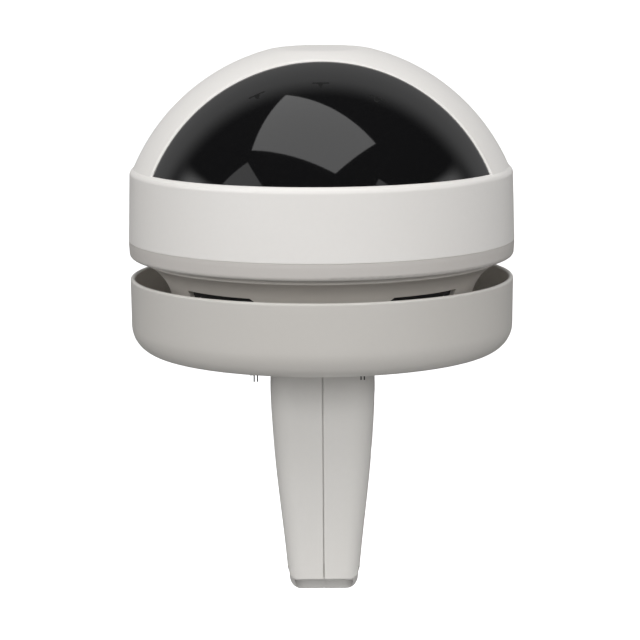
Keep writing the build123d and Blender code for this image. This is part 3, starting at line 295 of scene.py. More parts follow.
# ---- Arm ----
# Two mouldings of off-white ABS that lap along the seam and clamp the socket and the boss between their ribs.
# Four screws hold them, in deep holes in the right-hand half.
def moulded_white(name, colour, shade, rough, grain=0.006 * mm):
    """Moulded housing plastic: faint flow shading, a fine orange peel, a few hairline scuffs, and a painted
    highlight that lightens its sharp edges.
    """
    made = new_finish(name, IOR=1.52)
    base = over(made, speckle(made, 16, 0.0, 0.8, detail=1.0), colour, shade)
    base = over(made, speckle(made, 420, 0.0, 0.14, detail=1.0), base, [c * 0.93 for c in colour])
    # Painted highlight: the sharp edges are laid 5 percent lighter, for the light that catches them.
    base = over(made, edge_wear_and_highlight(made, 0.35 * mm), base, [min(1.0, c * 1.05) for c in colour])
    uneven = speckle(made, 45, rough - 0.02, rough + 0.04, detail=2.0)
    scuffs = speckle(made, 260, 0.0, 1.0, stretch=(1, 1, 0.12), detail=3.0)
    peel = relief(made, speckle(made, 620, 0, 1, detail=1.0), grain)
    return paint(
        made,
        Base_Color=base,
        Roughness=calculate(made.node_tree, "MULTIPLY_ADD", scuffs, 0.03, uneven),
        Normal=relief(made, speckle(made, 3200, 0, 1), grain / 8, peel),
    )


arm_white = moulded_white("arm_white", (0.655, 0.640, 0.615), (0.63, 0.612, 0.585), 0.36)
dress(arm_white, "arm_left_half", "arm_right_half")


def solids_of(name):
    """The separate solids of a carried-over piece, each as an array of its corners."""
    shape = bmesh.new()
    shape.from_mesh(nodes[name].data)
    bmesh.ops.remove_doubles(shape, verts=shape.verts, dist=0.5e-6)
    left, found = set(shape.verts), []
    while left:
        pile, island = [left.pop()], []
        while pile:
            corner = pile.pop()
            island.append(tuple(corner.co))
            for edge in corner.link_edges:
                other = edge.other_vert(corner)
                if other in left:
                    left.discard(other)
                    pile.append(other)
        found.append(np.array(island))
    shape.free()
    return sorted(found, key=lambda s: tuple(np.round(s.mean(axis=0), 5)))


def plan_of(name, *inputs):
    """A new Geometry Nodes tree with one geometry in, the named inputs, and one geometry out."""
    tree = bpy.data.node_groups.new(name, "GeometryNodeTree")
    tree.interface.new_socket("Start", in_out="INPUT", socket_type="NodeSocketGeometry")
    for label, kind in inputs:
        tree.interface.new_socket(label, in_out="INPUT", socket_type="NodeSocket" + kind)
    tree.interface.new_socket("Result", in_out="OUTPUT", socket_type="NodeSocketGeometry")
    return tree, put(tree, "NodeGroupInput").outputs


def close_plan(tree, geometry, finish):
    """The last nodes of every tree: real geometry, in its finish."""
    real = put(tree, "GeometryNodeRealizeInstances", {"Geometry": geometry}).outputs[0]
    dressed = put(tree, "GeometryNodeSetMaterial", {"Geometry": real, "Material": finish}).outputs[0]
    put(tree, "NodeGroupOutput", {0: dressed})


def grown(name, start, tree, sharp=30.0, **inputs):
    """Runs a tree on a start mesh and keeps the result as a plain closed mesh with outward faces."""
    piece = bpy.data.objects.new(name, start)
    scene.collection.objects.link(piece)
    growth = piece.modifiers.new("growth", "NODES")
    growth.node_group = tree
    for item in tree.interface.items_tree:
        key = item.name.replace(" ", "_")
        if item.in_out == "INPUT" and key in inputs:
            growth[item.identifier] = inputs[key]
    seen = piece.evaluated_get(bpy.context.evaluated_depsgraph_get())
    mesh = bpy.data.meshes.new_from_object(seen)
    piece.modifiers.clear()
    piece.data = mesh
    return tidied(piece, sharp)


def tidied(piece, sharp=30.0):
    """Merges doubles, turns the faces outwards, and shades smoothly up to that angle."""
    shape = bmesh.new()
    shape.from_mesh(piece.data)
    bmesh.ops.remove_doubles(shape, verts=shape.verts, dist=1e-7)
    bmesh.ops.dissolve_degenerate(shape, edges=shape.edges, dist=1e-7)
    bmesh.ops.recalc_face_normals(shape, faces=shape.faces)
    shape.to_mesh(piece.data)
    shape.free()
    piece.data.shade_smooth()
    piece.data.set_sharp_from_angle(angle=math.radians(sharp))
    return piece


def turning_plan():
    """Turns a closed outline, drawn as (radius, 0, height), once round the upright axis."""
    tree, given = plan_of("turned_wall", ("Turns", "Int"), ("Finish", "Material"))
    outline, turns, finish = given["Start"], given["Turns"], given["Finish"]
    count = put(tree, "GeometryNodeAttributeDomainSize", {"Geometry": outline}).outputs["Point Count"]
    rows = calculate(tree, "ADD", turns, 1.0)
    sheet = put(
        tree, "GeometryNodeMeshGrid",
        {"Size X": 1.0, "Size Y": 1.0, "Vertices X": calculate(tree, "ADD", count, 1.0), "Vertices Y": rows},
    ).outputs["Mesh"]
    number = put(tree, "GeometryNodeInputIndex").outputs[0]
    along = calculate(tree, "FLOOR", calculate(tree, "DIVIDE", calculate(tree, "ADD", number, 0.5), rows), 0.0)
    step = calculate(tree, "SUBTRACT", number, calculate(tree, "MULTIPLY", along, rows))
    angle = calculate(tree, "DIVIDE", calculate(tree, "MULTIPLY", step, math.tau), turns)
    place = put(tree, "GeometryNodeInputPosition").outputs[0]
    corner = put(
        tree, "GeometryNodeSampleIndex",
        {"Geometry": outline, "Value": place, "Index": calculate(tree, "MODULO", along, count)},
        data_type="FLOAT_VECTOR", domain="POINT",
    ).outputs["Value"]
    parts = put(tree, "ShaderNodeSeparateXYZ", {0: corner}).outputs
    x = calculate(tree, "MULTIPLY", parts[0], calculate(tree, "COSINE", angle, 0.0))
    y = calculate(tree, "MULTIPLY", parts[0], calculate(tree, "SINE", angle, 0.0))
    spot = put(tree, "ShaderNodeCombineXYZ", {0: x, 1: y, 2: parts[2]}).outputs[0]
    bent = put(tree, "GeometryNodeSetPosition", {"Geometry": sheet, "Position": spot}).outputs[0]
    closed = put(tree, "GeometryNodeMergeByDistance", {"Geometry": bent, "Distance": 1e-6}).outputs[0]
    close_plan(tree, closed, finish)
    return tree


turned_wall = turning_plan()


def turned(name, outline, finish, turns=192, sharp=30.0):
    """A turned piece from its closed outline of (radius, height), in metres."""
    start = bpy.data.meshes.new(name + "_outline")
    start.from_pydata([(r, 0.0, z) for r, z in outline], [], [])
    return grown(name, start, turned_wall, sharp, Turns=turns, Finish=finish)


def setting_out_plan():
    """Sets one pattern on every start point, with its upright axis along the point's own direction."""
    tree, given = plan_of("set_out", ("Pattern", "Object"), ("Finish", "Material"))
    pattern = put(tree, "GeometryNodeObjectInfo", {"Object": given["Pattern"]}).outputs["Geometry"]
    along = put(tree, "GeometryNodeInputNamedAttribute", {"Name": "along"}, data_type="FLOAT_VECTOR").outputs[0]
    turn = put(tree, "FunctionNodeAlignRotationToVector", {"Vector": along}, axis="Z").outputs[0]
    points = put(tree, "GeometryNodeMeshToPoints", {"Mesh": given["Start"]}).outputs[0]
    copies = put(
        tree, "GeometryNodeInstanceOnPoints", {"Points": points, "Instance": pattern, "Rotation": turn}
    ).outputs[0]
    close_plan(tree, copies, given["Finish"])
    return tree


set_out_tree = setting_out_plan()


def set_out(name, pattern, places, directions, finish, sharp=30.0):
    """Copies of a pattern at those places, as one plain mesh. The pattern itself is thrown away."""
    start = bpy.data.meshes.new(name + "_places")
    start.from_pydata([tuple(p) for p in places], [], [])
    along = start.attributes.new("along", "FLOAT_VECTOR", "POINT")
    for item, direction in zip(along.data, directions):
        item.vector = direction
    piece = grown(name, start, set_out_tree, sharp, Pattern=pattern, Finish=finish)
    bpy.data.objects.remove(pattern)
    return piece


hair = 0.01 * mm


def measure_screw(solid, axis):
    """Where a plain carried-over screw's head meets its shank, which way the head points, and its sizes."""
    centre = (solid.max(axis=0) + solid.min(axis=0)) / 2
    t = (solid - centre) @ axis
    radius = np.linalg.norm((solid - centre) - np.outer(t, axis), axis=1)
    low_end, high_end = radius[t < t.min() + hair].max(), radius[t > t.max() - hair].max()
    if low_end > high_end * 1.02 and radius[t < 0].max() > radius[t > 0].max():
        axis, t = -axis, -t
    head = radius.max()
    shank = radius[t < t.min() + hair].max()
    seat = t[radius > (head + shank) / 2].min()
    sizes = round(shank, 6), round(head, 6), round(t.max() - seat, 5), round(seat - t.min(), 5)
    return centre + axis * seat, axis, sizes


def screw_pattern(size, finish):
    """A pan-head screw, head up on z = 0: rolled thread, domed head, tapered cross recess."""
    shank, head, height, length = size
    pitch, crest = 0.5 * mm, 0.12 * mm
    outline = [(0, -length), (shank - 2 * crest, -length)]
    for n in range(int((length - 0.6 * mm) / pitch)):
        z = -length + (n + 0.5) * pitch
        outline += [(shank - crest, z), (shank, z + 0.5 * pitch)]
    outline += [(shank - crest, -0.4 * mm), (shank - crest, 0), (head * 0.96, 0), (head, 0.15 * height)]
    for n in range(7):
        a = n * math.pi / 12
        outline.append((head * (0.45 + 0.55 * math.cos(a)), height * (0.42 + 0.58 * math.sin(a))))
    pattern = turned("screw_pattern", outline + [(0, height)], finish, 24, 50.0)
    cutter = bmesh.new()
    narrow, wide = 0.2 * head, 0.8 * head
    for turn in (0, 90):
        slot = bmesh.ops.create_cone(cutter, cap_ends=True, segments=4, radius1=narrow, radius2=wide, depth=height)
        squash = Matrix.Diagonal((1.0, 0.32, 1.0, 1.0)) @ Matrix.Rotation(math.radians(45), 4, "Z")
        place = Matrix.Translation((0, 0, height * 0.85)) @ Matrix.Rotation(math.radians(turn), 4, "Z") @ squash
        bmesh.ops.transform(cutter, verts=slot["verts"], matrix=place)
    bit = bpy.data.objects.new("bit", bpy.data.meshes.new("bit"))
    cutter.to_mesh(bit.data)
    cutter.free()
    scene.collection.objects.link(bit)
    cut = pattern.modifiers.new("recess", "BOOLEAN")
    cut.object = bit
    cut.solver = "EXACT"
    cut.use_self = True
    mesh = bpy.data.meshes.new_from_object(pattern.evaluated_get(bpy.context.evaluated_depsgraph_get()))
    pattern.modifiers.clear()
    pattern.data = mesh
    bpy.data.objects.remove(bit)
    return pattern


def fasteners(node, axis, finish, body):
    """Replaces a group of plain screws by threaded ones with a cross recess, each in its own place."""
    sizes = {}
    for solid in solids_of(node):
        seat, way, size = measure_screw(solid, np.array(axis))
        sizes.setdefault(size, []).append((seat, way))
    made = []
    for n, (size, places) in enumerate(sorted(sizes.items())):
        seats, ways = zip(*places)
        made.append(set_out(f"{node}_threaded_{n}", screw_pattern(size, finish), seats, ways, finish, 50.0))
    whole = made[0]
    for extra in made[1:]:
        shape = bmesh.new()
        shape.from_mesh(whole.data)
        shape.from_mesh(extra.data)
        shape.to_mesh(whole.data)
        shape.free()
        bpy.data.objects.remove(extra)
    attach(whole, body)
    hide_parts(node)
    return whole


def plated(name, colour, worn, rough):
    """Plated fasteners: bright, a little uneven, darker in the thread."""
    made = new_finish(name, Metallic=1.0)
    base = over(made, speckle(made, 700, 0, 0.8), colour, [c * 0.75 for c in colour])
    paint(
        made,
        Base_Color=over(made, edge_wear_and_highlight(made, 0.15 * mm), base, worn),
        Roughness=speckle(made, 900, rough - 0.06, rough + 0.12),
        Normal=relief(made, speckle(made, 4000, 0, 1), 0.006 * mm),
    )
    return made


zinc = plated("zinc_plate", (0.56, 0.57, 0.58), (0.80, 0.80, 0.80), 0.26)
dress(zinc, "pole_set_screw")
fasteners("arm_screws", (1.0, 0.0, 0.0), zinc, "base")


# ---- Boss ----
# A turned aluminium boss sits in a groove at the top of the arm. The bowl is bolted down to it from inside.
aluminium = lathed("turned_aluminium", (0.66, 0.67, 0.68), (0.82, 0.83, 0.84), 0.27)
dress(aluminium, "arm_boss", "bearing_plate", "pan_spindle", "spindle_nut")
fasteners("arm_boss_screws", (0.0, 0.0, 1.0), zinc, "base")


# ---- Splash bowl ----
# A shallow bowl of ivory plastic with a rolled rim, which keeps rain off the vents of the neck inside it.
# Its faint flow marks come from its own mould. The power board stands on four posts in its floor.
def arc(centre_r, centre_z, r, start, end, steps):
    """Points along an arc of an outline, angles in degrees from the outward direction."""
    points = []
    for n in range(steps + 1):
        a = math.radians(start + (end - start) * n / steps)
        points.append((centre_r + r * math.cos(a), centre_z + r * math.sin(a)))
    return points


ivory = moulded_white("ivory_shell", (0.607, 0.587, 0.556), (0.585, 0.562, 0.528), 0.32)
bowl_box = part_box("splash_bowl")
bowl_bottom, bowl_rim = bowl_box[0].z, bowl_box[1].z
rim_r, low_r, wall, bend = bowl_box[1].x, bowl_box[1].x - 0.3 * mm, 2.2 * mm, 12.8 * mm
floor_top, hole_r, lip = bowl_bottom + 2.5 * mm, 8.0 * mm, 1.1 * mm
flat_r = low_r - bend - 1 * mm
outline = [(hole_r, bowl_bottom), (30 * mm, bowl_bottom), (60 * mm, bowl_bottom), (flat_r, bowl_bottom)]
outline += arc(low_r - bend, bowl_bottom + bend, bend, -90, 0, 18)
outline += [(low_r + 0.02 * mm, bowl_bottom + bend + 1 * mm), (rim_r - 0.02 * mm, bowl_rim - lip - 1 * mm)]
outline += arc(rim_r - lip, bowl_rim - lip, lip, 0, 180, 14)
outline += [(rim_r - wall - 0.02 * mm, bowl_rim - lip - 1 * mm)]
outline += [(low_r - wall, floor_top + bend - wall + 1 * mm)]
outline += arc(low_r - bend, floor_top + bend - wall, bend - wall, 0, -90, 14)
outline += [(flat_r, floor_top), (30 * mm, floor_top), (hole_r, floor_top)]
bowl = turned("splash_bowl_shell", outline, ivory, 256)
post_r, post_circle = 3.0 * mm, 36.0 * mm
post_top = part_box("power_board")[0].z
post_foot = floor_top - 0.5 * mm
post_outline = [(0, post_foot), (post_r, post_foot), (post_r, post_top), (1.2 * mm, post_top), (0, post_top)]
post = turned("post", post_outline, ivory, 32)
turns = [math.pi * (n + 0.5) / 2 for n in range(4)]
spots = [(post_circle * math.cos(a), post_circle * math.sin(a), 0) for a in turns]
posts = set_out("bowl_posts", post, spots, [(0, 0, 1)] * 4, ivory)


def joined(whole, *others):
    """Several meshes that are one moulding, as one piece."""
    shape = bmesh.new()
    for one in (whole, *others):
        shape.from_mesh(one.data)
    shape.to_mesh(whole.data)
    shape.free()
    for one in others:
        bpy.data.objects.remove(one)
    return tidied(whole)


joined(bowl, posts)
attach(bowl, "base")
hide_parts("splash_bowl")


# ---- Contacts under the bowl ----
# Two small black blocks stand on the bowl's underside near its front edge, each with a pair of service pins.
pin_metal = plated("dark_pins", (0.06, 0.06, 0.062), (0.30, 0.30, 0.30), 0.34)
dress(pin_metal, "contact_pins")
fasteners("base_m3_screws", (0.0, 0.0, 1.0), zinc, "base")


# ---- Neck and its grilles ----
# One moulding that flares out towards the head, screwed to the bowl's floor from below. Four vents are cut in the
# flare, and a black louvred insert backs each of them.
# The neck's colour is partly its own ivory plastic and partly painted warm bounce light: it is set lighter and
# warmer than the bowl's ivory, for the warm light bounced round inside the bowl.
neck_ivory_and_painted_bounce = moulded_white("neck_shell", (0.68, 0.645, 0.60), (0.65, 0.61, 0.56), 0.34)
dress(neck_ivory_and_painted_bounce, "neck_shell")


# ---- Power board ----
# A glass-fibre board on the bowl's posts: a choke, three capacitors, a terminal block and one chip.
def circuit_board(name, mask, track, flat, upright):
    """Solder mask over fine tracks, with bright pads. flat and upright are the board's own two directions."""
    made = new_finish(name, IOR=1.5)
    tree = made.node_tree
    place = put(tree, "ShaderNodeTexCoord").outputs["Object"]
    parts = put(tree, "ShaderNodeSeparateXYZ", {0: place}).outputs
    sheet = put(tree, "ShaderNodeCombineXYZ", {0: parts[flat], 1: parts[upright]}).outputs[0]
    lanes = put(
        tree, "ShaderNodeTexBrick",
        {"Vector": sheet, "Scale": 260.0, "Mortar Size": 0.06, "Brick Width": 1.9, "Row Height": 0.30, "Bias": 0.0},
        offset=0.37,
    )
    pads = put(tree, "ShaderNodeTexVoronoi", {"Vector": sheet, "Scale": 320.0, "Randomness": 0.55})
    pad = fade(tree, pads.outputs["Distance"], 0.24, 0.18, 0.0, 1.0)
    colour = over(made, calculate(tree, "SUBTRACT", 1.0, lanes.outputs["Fac"]), mask, track)
    colour = over(made, pad, colour, (0.70, 0.62, 0.40))
    paint(
        made,
        Base_Color=over(made, speckle(made, 90, 0, 0.3), colour, mask),
        Metallic=pad,
        Roughness=speckle(made, 500, 0.28, 0.42),
        Normal=relief(made, lanes.outputs["Fac"], -0.03 * mm, relief(made, pad, 0.05 * mm)),
    )
    return made


green_board = circuit_board("green_board", (0.012, 0.085, 0.040), (0.020, 0.130, 0.060), 0, 1)
dress(green_board, "power_board")
component = moulded_black("component_black", (0.016, 0.016, 0.018), 0.40, 0.02 * mm)


def banded(made, axis, edges, colours):
    """A colour that changes at each height along one axis, for several materials in one carried-over piece."""
    tree = made.node_tree
    place = put(tree, "ShaderNodeTexCoord").outputs["Object"]
    height = put(tree, "ShaderNodeSeparateXYZ", {0: place}).outputs[axis]
    colour = colours[0]
    for edge, next_colour in zip(edges, colours[1:]):
        colour = over(made, calculate(tree, "GREATER_THAN", height, edge), colour, next_colour)
    return colour


parts_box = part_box("power_parts")
cans = new_finish("capacitor_sleeves", IOR=1.5)
crown_z = parts_box[1].z - 0.9 * mm
sleeve = banded(cans, 2, [crown_z], [(0.02, 0.03, 0.075), (0.62, 0.62, 0.62)])
can_place = put(cans.node_tree, "ShaderNodeTexCoord").outputs["Object"]
can_height = put(cans.node_tree, "ShaderNodeSeparateXYZ", {0: can_place}).outputs[2]
crown = calculate(cans.node_tree, "GREATER_THAN", can_height, crown_z)
paint(
    cans,
    Base_Color=over(cans, speckle(cans, 400, 0, 0.4), sleeve, (0.05, 0.05, 0.07)),
    Metallic=crown,
    Roughness=speckle(cans, 300, 0.25, 0.42),
    Normal=relief(cans, speckle(cans, 1800, 0, 1), 0.02 * mm),
)
dress(cans, "power_parts")
fasteners("base_small_screws", (0.0, 0.0, 1.0), zinc, "base")


# ---- Fan ----
# A 40 mm fan hangs under the bearing plate and blows through it into the head. Its rotor turns on the frame's pin.
dress(black_plastic, "fan_frame")
blade_plastic = moulded_black("blade_plastic", (0.028, 0.029, 0.031), 0.38, 0.015 * mm)
dress(blade_plastic, "fan_rotor")


# ---- Pan bearing and its gear ----
# The spindle is bolted on the plate. A ring of 24 hard steel balls runs between two ground races, and the acetal
# ring gear over them is held down by a slotted nut.
def ball_pattern(radius):
    shape = bmesh.new()
    bmesh.ops.create_icosphere(shape, subdivisions=4, radius=radius)
    mesh = bpy.data.meshes.new("ball_pattern")
    shape.to_mesh(mesh)
    shape.free()
    pattern = bpy.data.objects.new("ball_pattern", mesh)
    scene.collection.objects.link(pattern)
    return pattern


hard_steel = plated("ground_steel", (0.62, 0.62, 0.63), (0.80, 0.80, 0.80), 0.10)
ball_solids = solids_of("bearing_balls")
ball_spots = [(s.max(axis=0) + s.min(axis=0)) / 2 for s in ball_solids]
ball_r = float(np.ptp(ball_solids[0][:, 2])) / 2
upright = [(0, 0, 1)] * len(ball_spots)
balls = set_out("bearing_ball_ring", ball_pattern(ball_r), ball_spots, upright, hard_steel)
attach(balls, "balls")
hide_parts("bearing_balls")


def gear_plastic(name, colour):
    """Natural acetal: milky, waxy, with faint grease in the teeth."""
    made = new_finish(name, IOR=1.48, Subsurface_Weight=0.12, Subsurface_Scale=0.6 * mm)
    base = over(made, speckle(made, 60, 0, 0.6), colour, [c * 0.9 for c in colour])
    paint(
        made,
        Base_Color=over(made, speckle(made, 240, -0.6, 0.5), base, (0.50, 0.44, 0.30)),
        Roughness=speckle(made, 150, 0.22, 0.42),
        Normal=relief(made, speckle(made, 1500, 0, 1), 0.012 * mm),
    )
    return made


acetal = gear_plastic("acetal", (0.74, 0.72, 0.66))
dress(acetal, "pan_ring_gear", "pan_pinion", "tilt_pinion", "tilt_sector")


# ---- Head tray, seal and turntable ----
# The grey-ivory tray is the lower half of the head. A rubber ring seals its step, and the turntable that carries
# the pan bearing's outer race is screwed down on its posts.
grey_shell = moulded_white("grey_shell", (0.595, 0.568, 0.542), (0.57, 0.542, 0.512), 0.31)
dress(grey_shell, "head_tray")
rubber = new_finish("rubber", IOR=1.5)
paint(
    rubber,
    Base_Color=over(rubber, speckle(rubber, 500, 0, 0.7), (0.010, 0.010, 0.010), (0.030, 0.029, 0.027)),
    Roughness=speckle(rubber, 200, 0.62, 0.82),
    Normal=relief(rubber, speckle(rubber, 1400, 0, 1), 0.03 * mm),
)
dress(rubber, "base_seal", "window_gasket")


def brushed(name, colour, worn, rough, stretch):
    """Sheet or machined metal with a grain along one direction."""
    made = new_finish(name, Metallic=1.0)
    grain = speckle(made, 900, 0, 1, stretch=stretch, detail=5.0)
    base = over(made, speckle(made, 60, 0, 0.7), colour, [c * 0.84 for c in colour])
    paint(
        made,
        Base_Color=over(made, edge_wear_and_highlight(made, 0.3 * mm), base, worn),
        Roughness=speckle(made, 500, rough - 0.06, rough + 0.10, stretch=stretch),
        Normal=relief(made, grain, 0.012 * mm),
    )
    return made


sheet_metal = brushed("brushed_sheet", (0.60, 0.61, 0.62), (0.80, 0.80, 0.80), 0.30, (0.04, 1, 1))
dress(sheet_metal, "turntable", "pan_motor_bracket", "board_bracket", "yoke")
fasteners("head_screws", (0.0, 0.0, 1.0), zinc, "head")


# ---- Motors ----
# Two small stepper motors: rolled steel cans with a dull zinc finish, and ground shafts.
motor_can = brushed("motor_can", (0.40, 0.41, 0.43), (0.62, 0.62, 0.62), 0.34, (1, 1, 0.05))
dress(motor_can, "pan_motor", "tilt_motor")


# ---- Main board ----
# The upright board at the back of the head, with its processor under a finned aluminium sink, memory and sockets.
upright_board = circuit_board("upright_board", (0.010, 0.060, 0.075), (0.016, 0.095, 0.115), 0, 2)
dress(upright_board, "main_board")
fin_metal = brushed("black_fins", (0.030, 0.031, 0.034), (0.30, 0.30, 0.31), 0.36, (1, 1, 0.05))


def chamfered(name, boxes, width, finish):
    """Several small blocks with softened edges, as one piece."""
    shape = bmesh.new()
    for low, high in boxes:
        corners = bmesh.ops.create_cube(shape, size=1.0)["verts"]
        size, middle = Vector(high) - Vector(low), (Vector(high) + Vector(low)) / 2
        place = Matrix.Translation(middle) @ Matrix.Diagonal((*size, 1.0))
        bmesh.ops.transform(shape, verts=corners, matrix=place)
    mesh = bpy.data.meshes.new(name)
    shape.to_mesh(mesh)
    shape.free()
    mesh.materials.append(finish)
    piece = bpy.data.objects.new(name, mesh)
    scene.collection.objects.link(piece)
    soft = piece.modifiers.new("soft_edges", "BEVEL")
    soft.width = width
    soft.segments = 2
    mesh = bpy.data.meshes.new_from_object(piece.evaluated_get(bpy.context.evaluated_depsgraph_get()))
    piece.modifiers.clear()
    piece.data = mesh
    return tidied(piece)


solids = [(s.min(axis=0), s.max(axis=0)) for s in solids_of("board_parts")]
solids.sort(key=lambda box: np.prod(box[1] - box[0]))
sink_low, sink_high = solids[-1]
chips = chamfered("board_chips", solids[:-1], 0.12 * mm, component)
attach(chips, "head")


def finned_plan():
    """A row of equal fins on a plate, all sizes given, for a heat sink that stands on the y axis."""
    inputs = ("Fins", "Int"), ("Size", "Vector"), ("Base", "Float"), ("Finish", "Material")
    tree, given = plan_of("finned_sink", *inputs)
    size = put(tree, "ShaderNodeSeparateXYZ", {0: given["Size"]}).outputs
    pitch = calculate(tree, "DIVIDE", size[0], given["Fins"])
    thick = calculate(tree, "MULTIPLY", pitch, 0.38)
    fin_size = put(tree, "ShaderNodeCombineXYZ", {0: thick, 1: size[1], 2: size[2]}).outputs[0]
    fin = put(tree, "GeometryNodeMeshCube", {"Size": fin_size}).outputs["Mesh"]
    first = calculate(tree, "MULTIPLY", calculate(tree, "SUBTRACT", size[0], pitch), -0.5)
    start = put(tree, "ShaderNodeCombineXYZ", {0: first}).outputs[0]
    step = put(tree, "ShaderNodeCombineXYZ", {0: pitch}).outputs[0]
    row = put(
        tree, "GeometryNodeMeshLine", {"Count": given["Fins"], "Start Location": start, "Offset": step}
    ).outputs["Mesh"]
    fins = put(tree, "GeometryNodeInstanceOnPoints", {"Points": row, "Instance": fin}).outputs[0]
    plate_size = put(tree, "ShaderNodeCombineXYZ", {0: size[0], 1: given["Base"], 2: size[2]}).outputs[0]
    sink_depth = calculate(tree, "MULTIPLY", calculate(tree, "SUBTRACT", given["Base"], size[1]), 0.5)
    plate_place = put(tree, "ShaderNodeCombineXYZ", {1: sink_depth}).outputs[0]
    plate = put(tree, "GeometryNodeMeshCube", {"Size": plate_size}).outputs["Mesh"]
    plate = put(tree, "GeometryNodeTransform", {"Geometry": plate, "Translation": plate_place}).outputs[0]
    both = put(tree, "GeometryNodeJoinGeometry", {"Geometry": fins})
    tree.links.new(plate, both.inputs["Geometry"])
    middle = put(tree, "GeometryNodeInputPosition").outputs[0]
    centre = put(
        tree, "GeometryNodeSampleIndex", {"Geometry": given["Start"], "Value": middle, "Index": 0},
        data_type="FLOAT_VECTOR",
    ).outputs["Value"]
    moved = put(tree, "GeometryNodeTransform", {"Geometry": both.outputs[0], "Translation": centre}).outputs[0]
    close_plan(tree, moved, given["Finish"])
    return tree


seat = bpy.data.meshes.new("sink_seat")
seat.from_pydata([tuple((sink_low + sink_high) / 2)], [], [])
sink_size = [float(v) for v in sink_high - sink_low]
sink = grown("heat_sink", seat, finned_plan(), Fins=7, Size=sink_size, Base=1.0 * mm, Finish=fin_metal)
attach(sink, "head")
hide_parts("board_parts")


# ---- Yoke bushes, trunnions and camera block ----
# The block's two pins turn in brass bushes pressed in the yoke. Its black case is two halves held by long screws.
brass = brushed("brass", (0.56, 0.40, 0.17), (0.78, 0.62, 0.34), 0.26, (0.05, 1, 1))
dress(brass, "tilt_bushes")
dress(motor_can, "trunnions")
rest_tilt = math.radians(30.0)
lens_back = (0.0, math.cos(rest_tilt), -math.sin(rest_tilt))
fasteners("block_screws", lens_back, zinc, "camera")


# ---- Lens ----
# An anodised barrel with two rings that turn on it. The front element is domed and has a faint violet coating.
anodised = brushed("anodised", (0.020, 0.020, 0.023), (0.34, 0.34, 0.35), 0.32, (0.05, 1, 1))
dress(anodised, "lens_barrel", "zoom_ring", "focus_ring")
glass = new_finish(
    "coated_glass", IOR=1.6, Transmission_Weight=0.9, Coat_Weight=1.0, Coat_Roughness=0.02, Coat_IOR=2.0,
    Coat_Tint=(0.70, 0.62, 1.0, 1.0),
)
paint(
    glass,
    Base_Color=over(glass, speckle(glass, 90, 0, 0.6), (0.80, 0.84, 0.90), (0.70, 0.76, 0.86)),
    Roughness=speckle(glass, 300, 0.01, 0.05),
    Normal=relief(glass, speckle(glass, 600, 0, 1), 0.002 * mm),
)
dress(glass, "lenses")


# ---- Sensor board and infrared lamps ----
# Ten infrared lamps stand in a ring round the lens on their own board, in clear epoxy with a dark cast.
tilted_board = circuit_board("lamp_board", (0.010, 0.045, 0.022), (0.018, 0.075, 0.038), 0, 2)
dress(tilted_board, "led_board", "sensor_board")
epoxy = new_finish("lamp_epoxy", IOR=1.54, Transmission_Weight=0.55)
paint(
    epoxy,
    Base_Color=over(epoxy, speckle(epoxy, 500, 0, 0.8), (0.30, 0.26, 0.30), (0.16, 0.14, 0.17)),
    Roughness=speckle(epoxy, 300, 0.04, 0.14),
    Normal=relief(epoxy, speckle(epoxy, 900, 0, 1), 0.01 * mm),
)
back_way = np.array(lens_back)
lamp_solids = solids_of("ir_leds")
lamp_spots = []
for solid in lamp_solids:
    t = solid @ back_way
    middle = solid[t > t.max() - 1e-5].mean(axis=0)
    lamp_spots.append(middle)
lamp_r = float(np.ptp(lamp_solids[0][:, 0])) / 2
lamp_high = float(np.ptp(lamp_solids[0] @ back_way))
body_r = lamp_r * 0.86
lamp_outline = [(0, 0), (lamp_r, 0), (lamp_r, 0.6 * mm), (body_r, 0.75 * mm), (body_r, lamp_high - body_r)]
lamp_outline += arc(0, lamp_high - body_r, body_r, 0, 90, 8)
lamp = turned("lamp_pattern", lamp_outline, epoxy, 24, 40.0)
lamps = set_out("lamp_ring", lamp, lamp_spots, [tuple(-back_way)] * len(lamp_spots), epoxy, 40.0)
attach(lamps, "camera")
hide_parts("ir_leds")


# ---- Smoked window ----
# A pane of smoked polycarbonate, part of a ball that is 0.6 mm smaller than the white dome. It has a polished face,
# a flange that is bonded behind the white arch, and a skirt that drops inside the band.
window_r, pane, flange_r, seam = 95.2 * mm, 3.0 * mm, 92.6 * mm, 0.25 * mm
ball_z, shoulder_z, arch_y, arch_lean = 153.4 * mm, 191.6 * mm, -40.8 * mm, math.radians(9.4)
back_axis = Vector((0, math.cos(arch_lean), -math.sin(arch_lean)))
ball_centre = Vector((0, 0, ball_z))
arch_depth = back_axis.dot(Vector((0, arch_y, shoulder_z)) - ball_centre)
leaning = Matrix.Translation(ball_centre) @ back_axis.to_track_quat("Z", "Y").to_matrix().to_4x4()


def latitude(radius, depth):
    """The angle, from the outward direction, at which a ball of that radius has that depth along its axis."""
    return math.degrees(math.asin(depth / radius))


def sliced(piece, point, normal):
    """Keeps what is on the normal's side of a plane, and closes the cut."""
    shape = bmesh.new()
    shape.from_mesh(piece.data)
    cut = bmesh.ops.bisect_plane(
        shape, geom=shape.verts[:] + shape.edges[:] + shape.faces[:],
        plane_co=point, plane_no=normal, clear_inner=True,
    )
    rim = [e for e in cut["geom_cut"] if isinstance(e, bmesh.types.BMEdge)]
    bmesh.ops.triangle_fill(shape, use_beauty=True, use_dissolve=False, edges=rim)
    shape.to_mesh(piece.data)
    shape.free()
    return piece


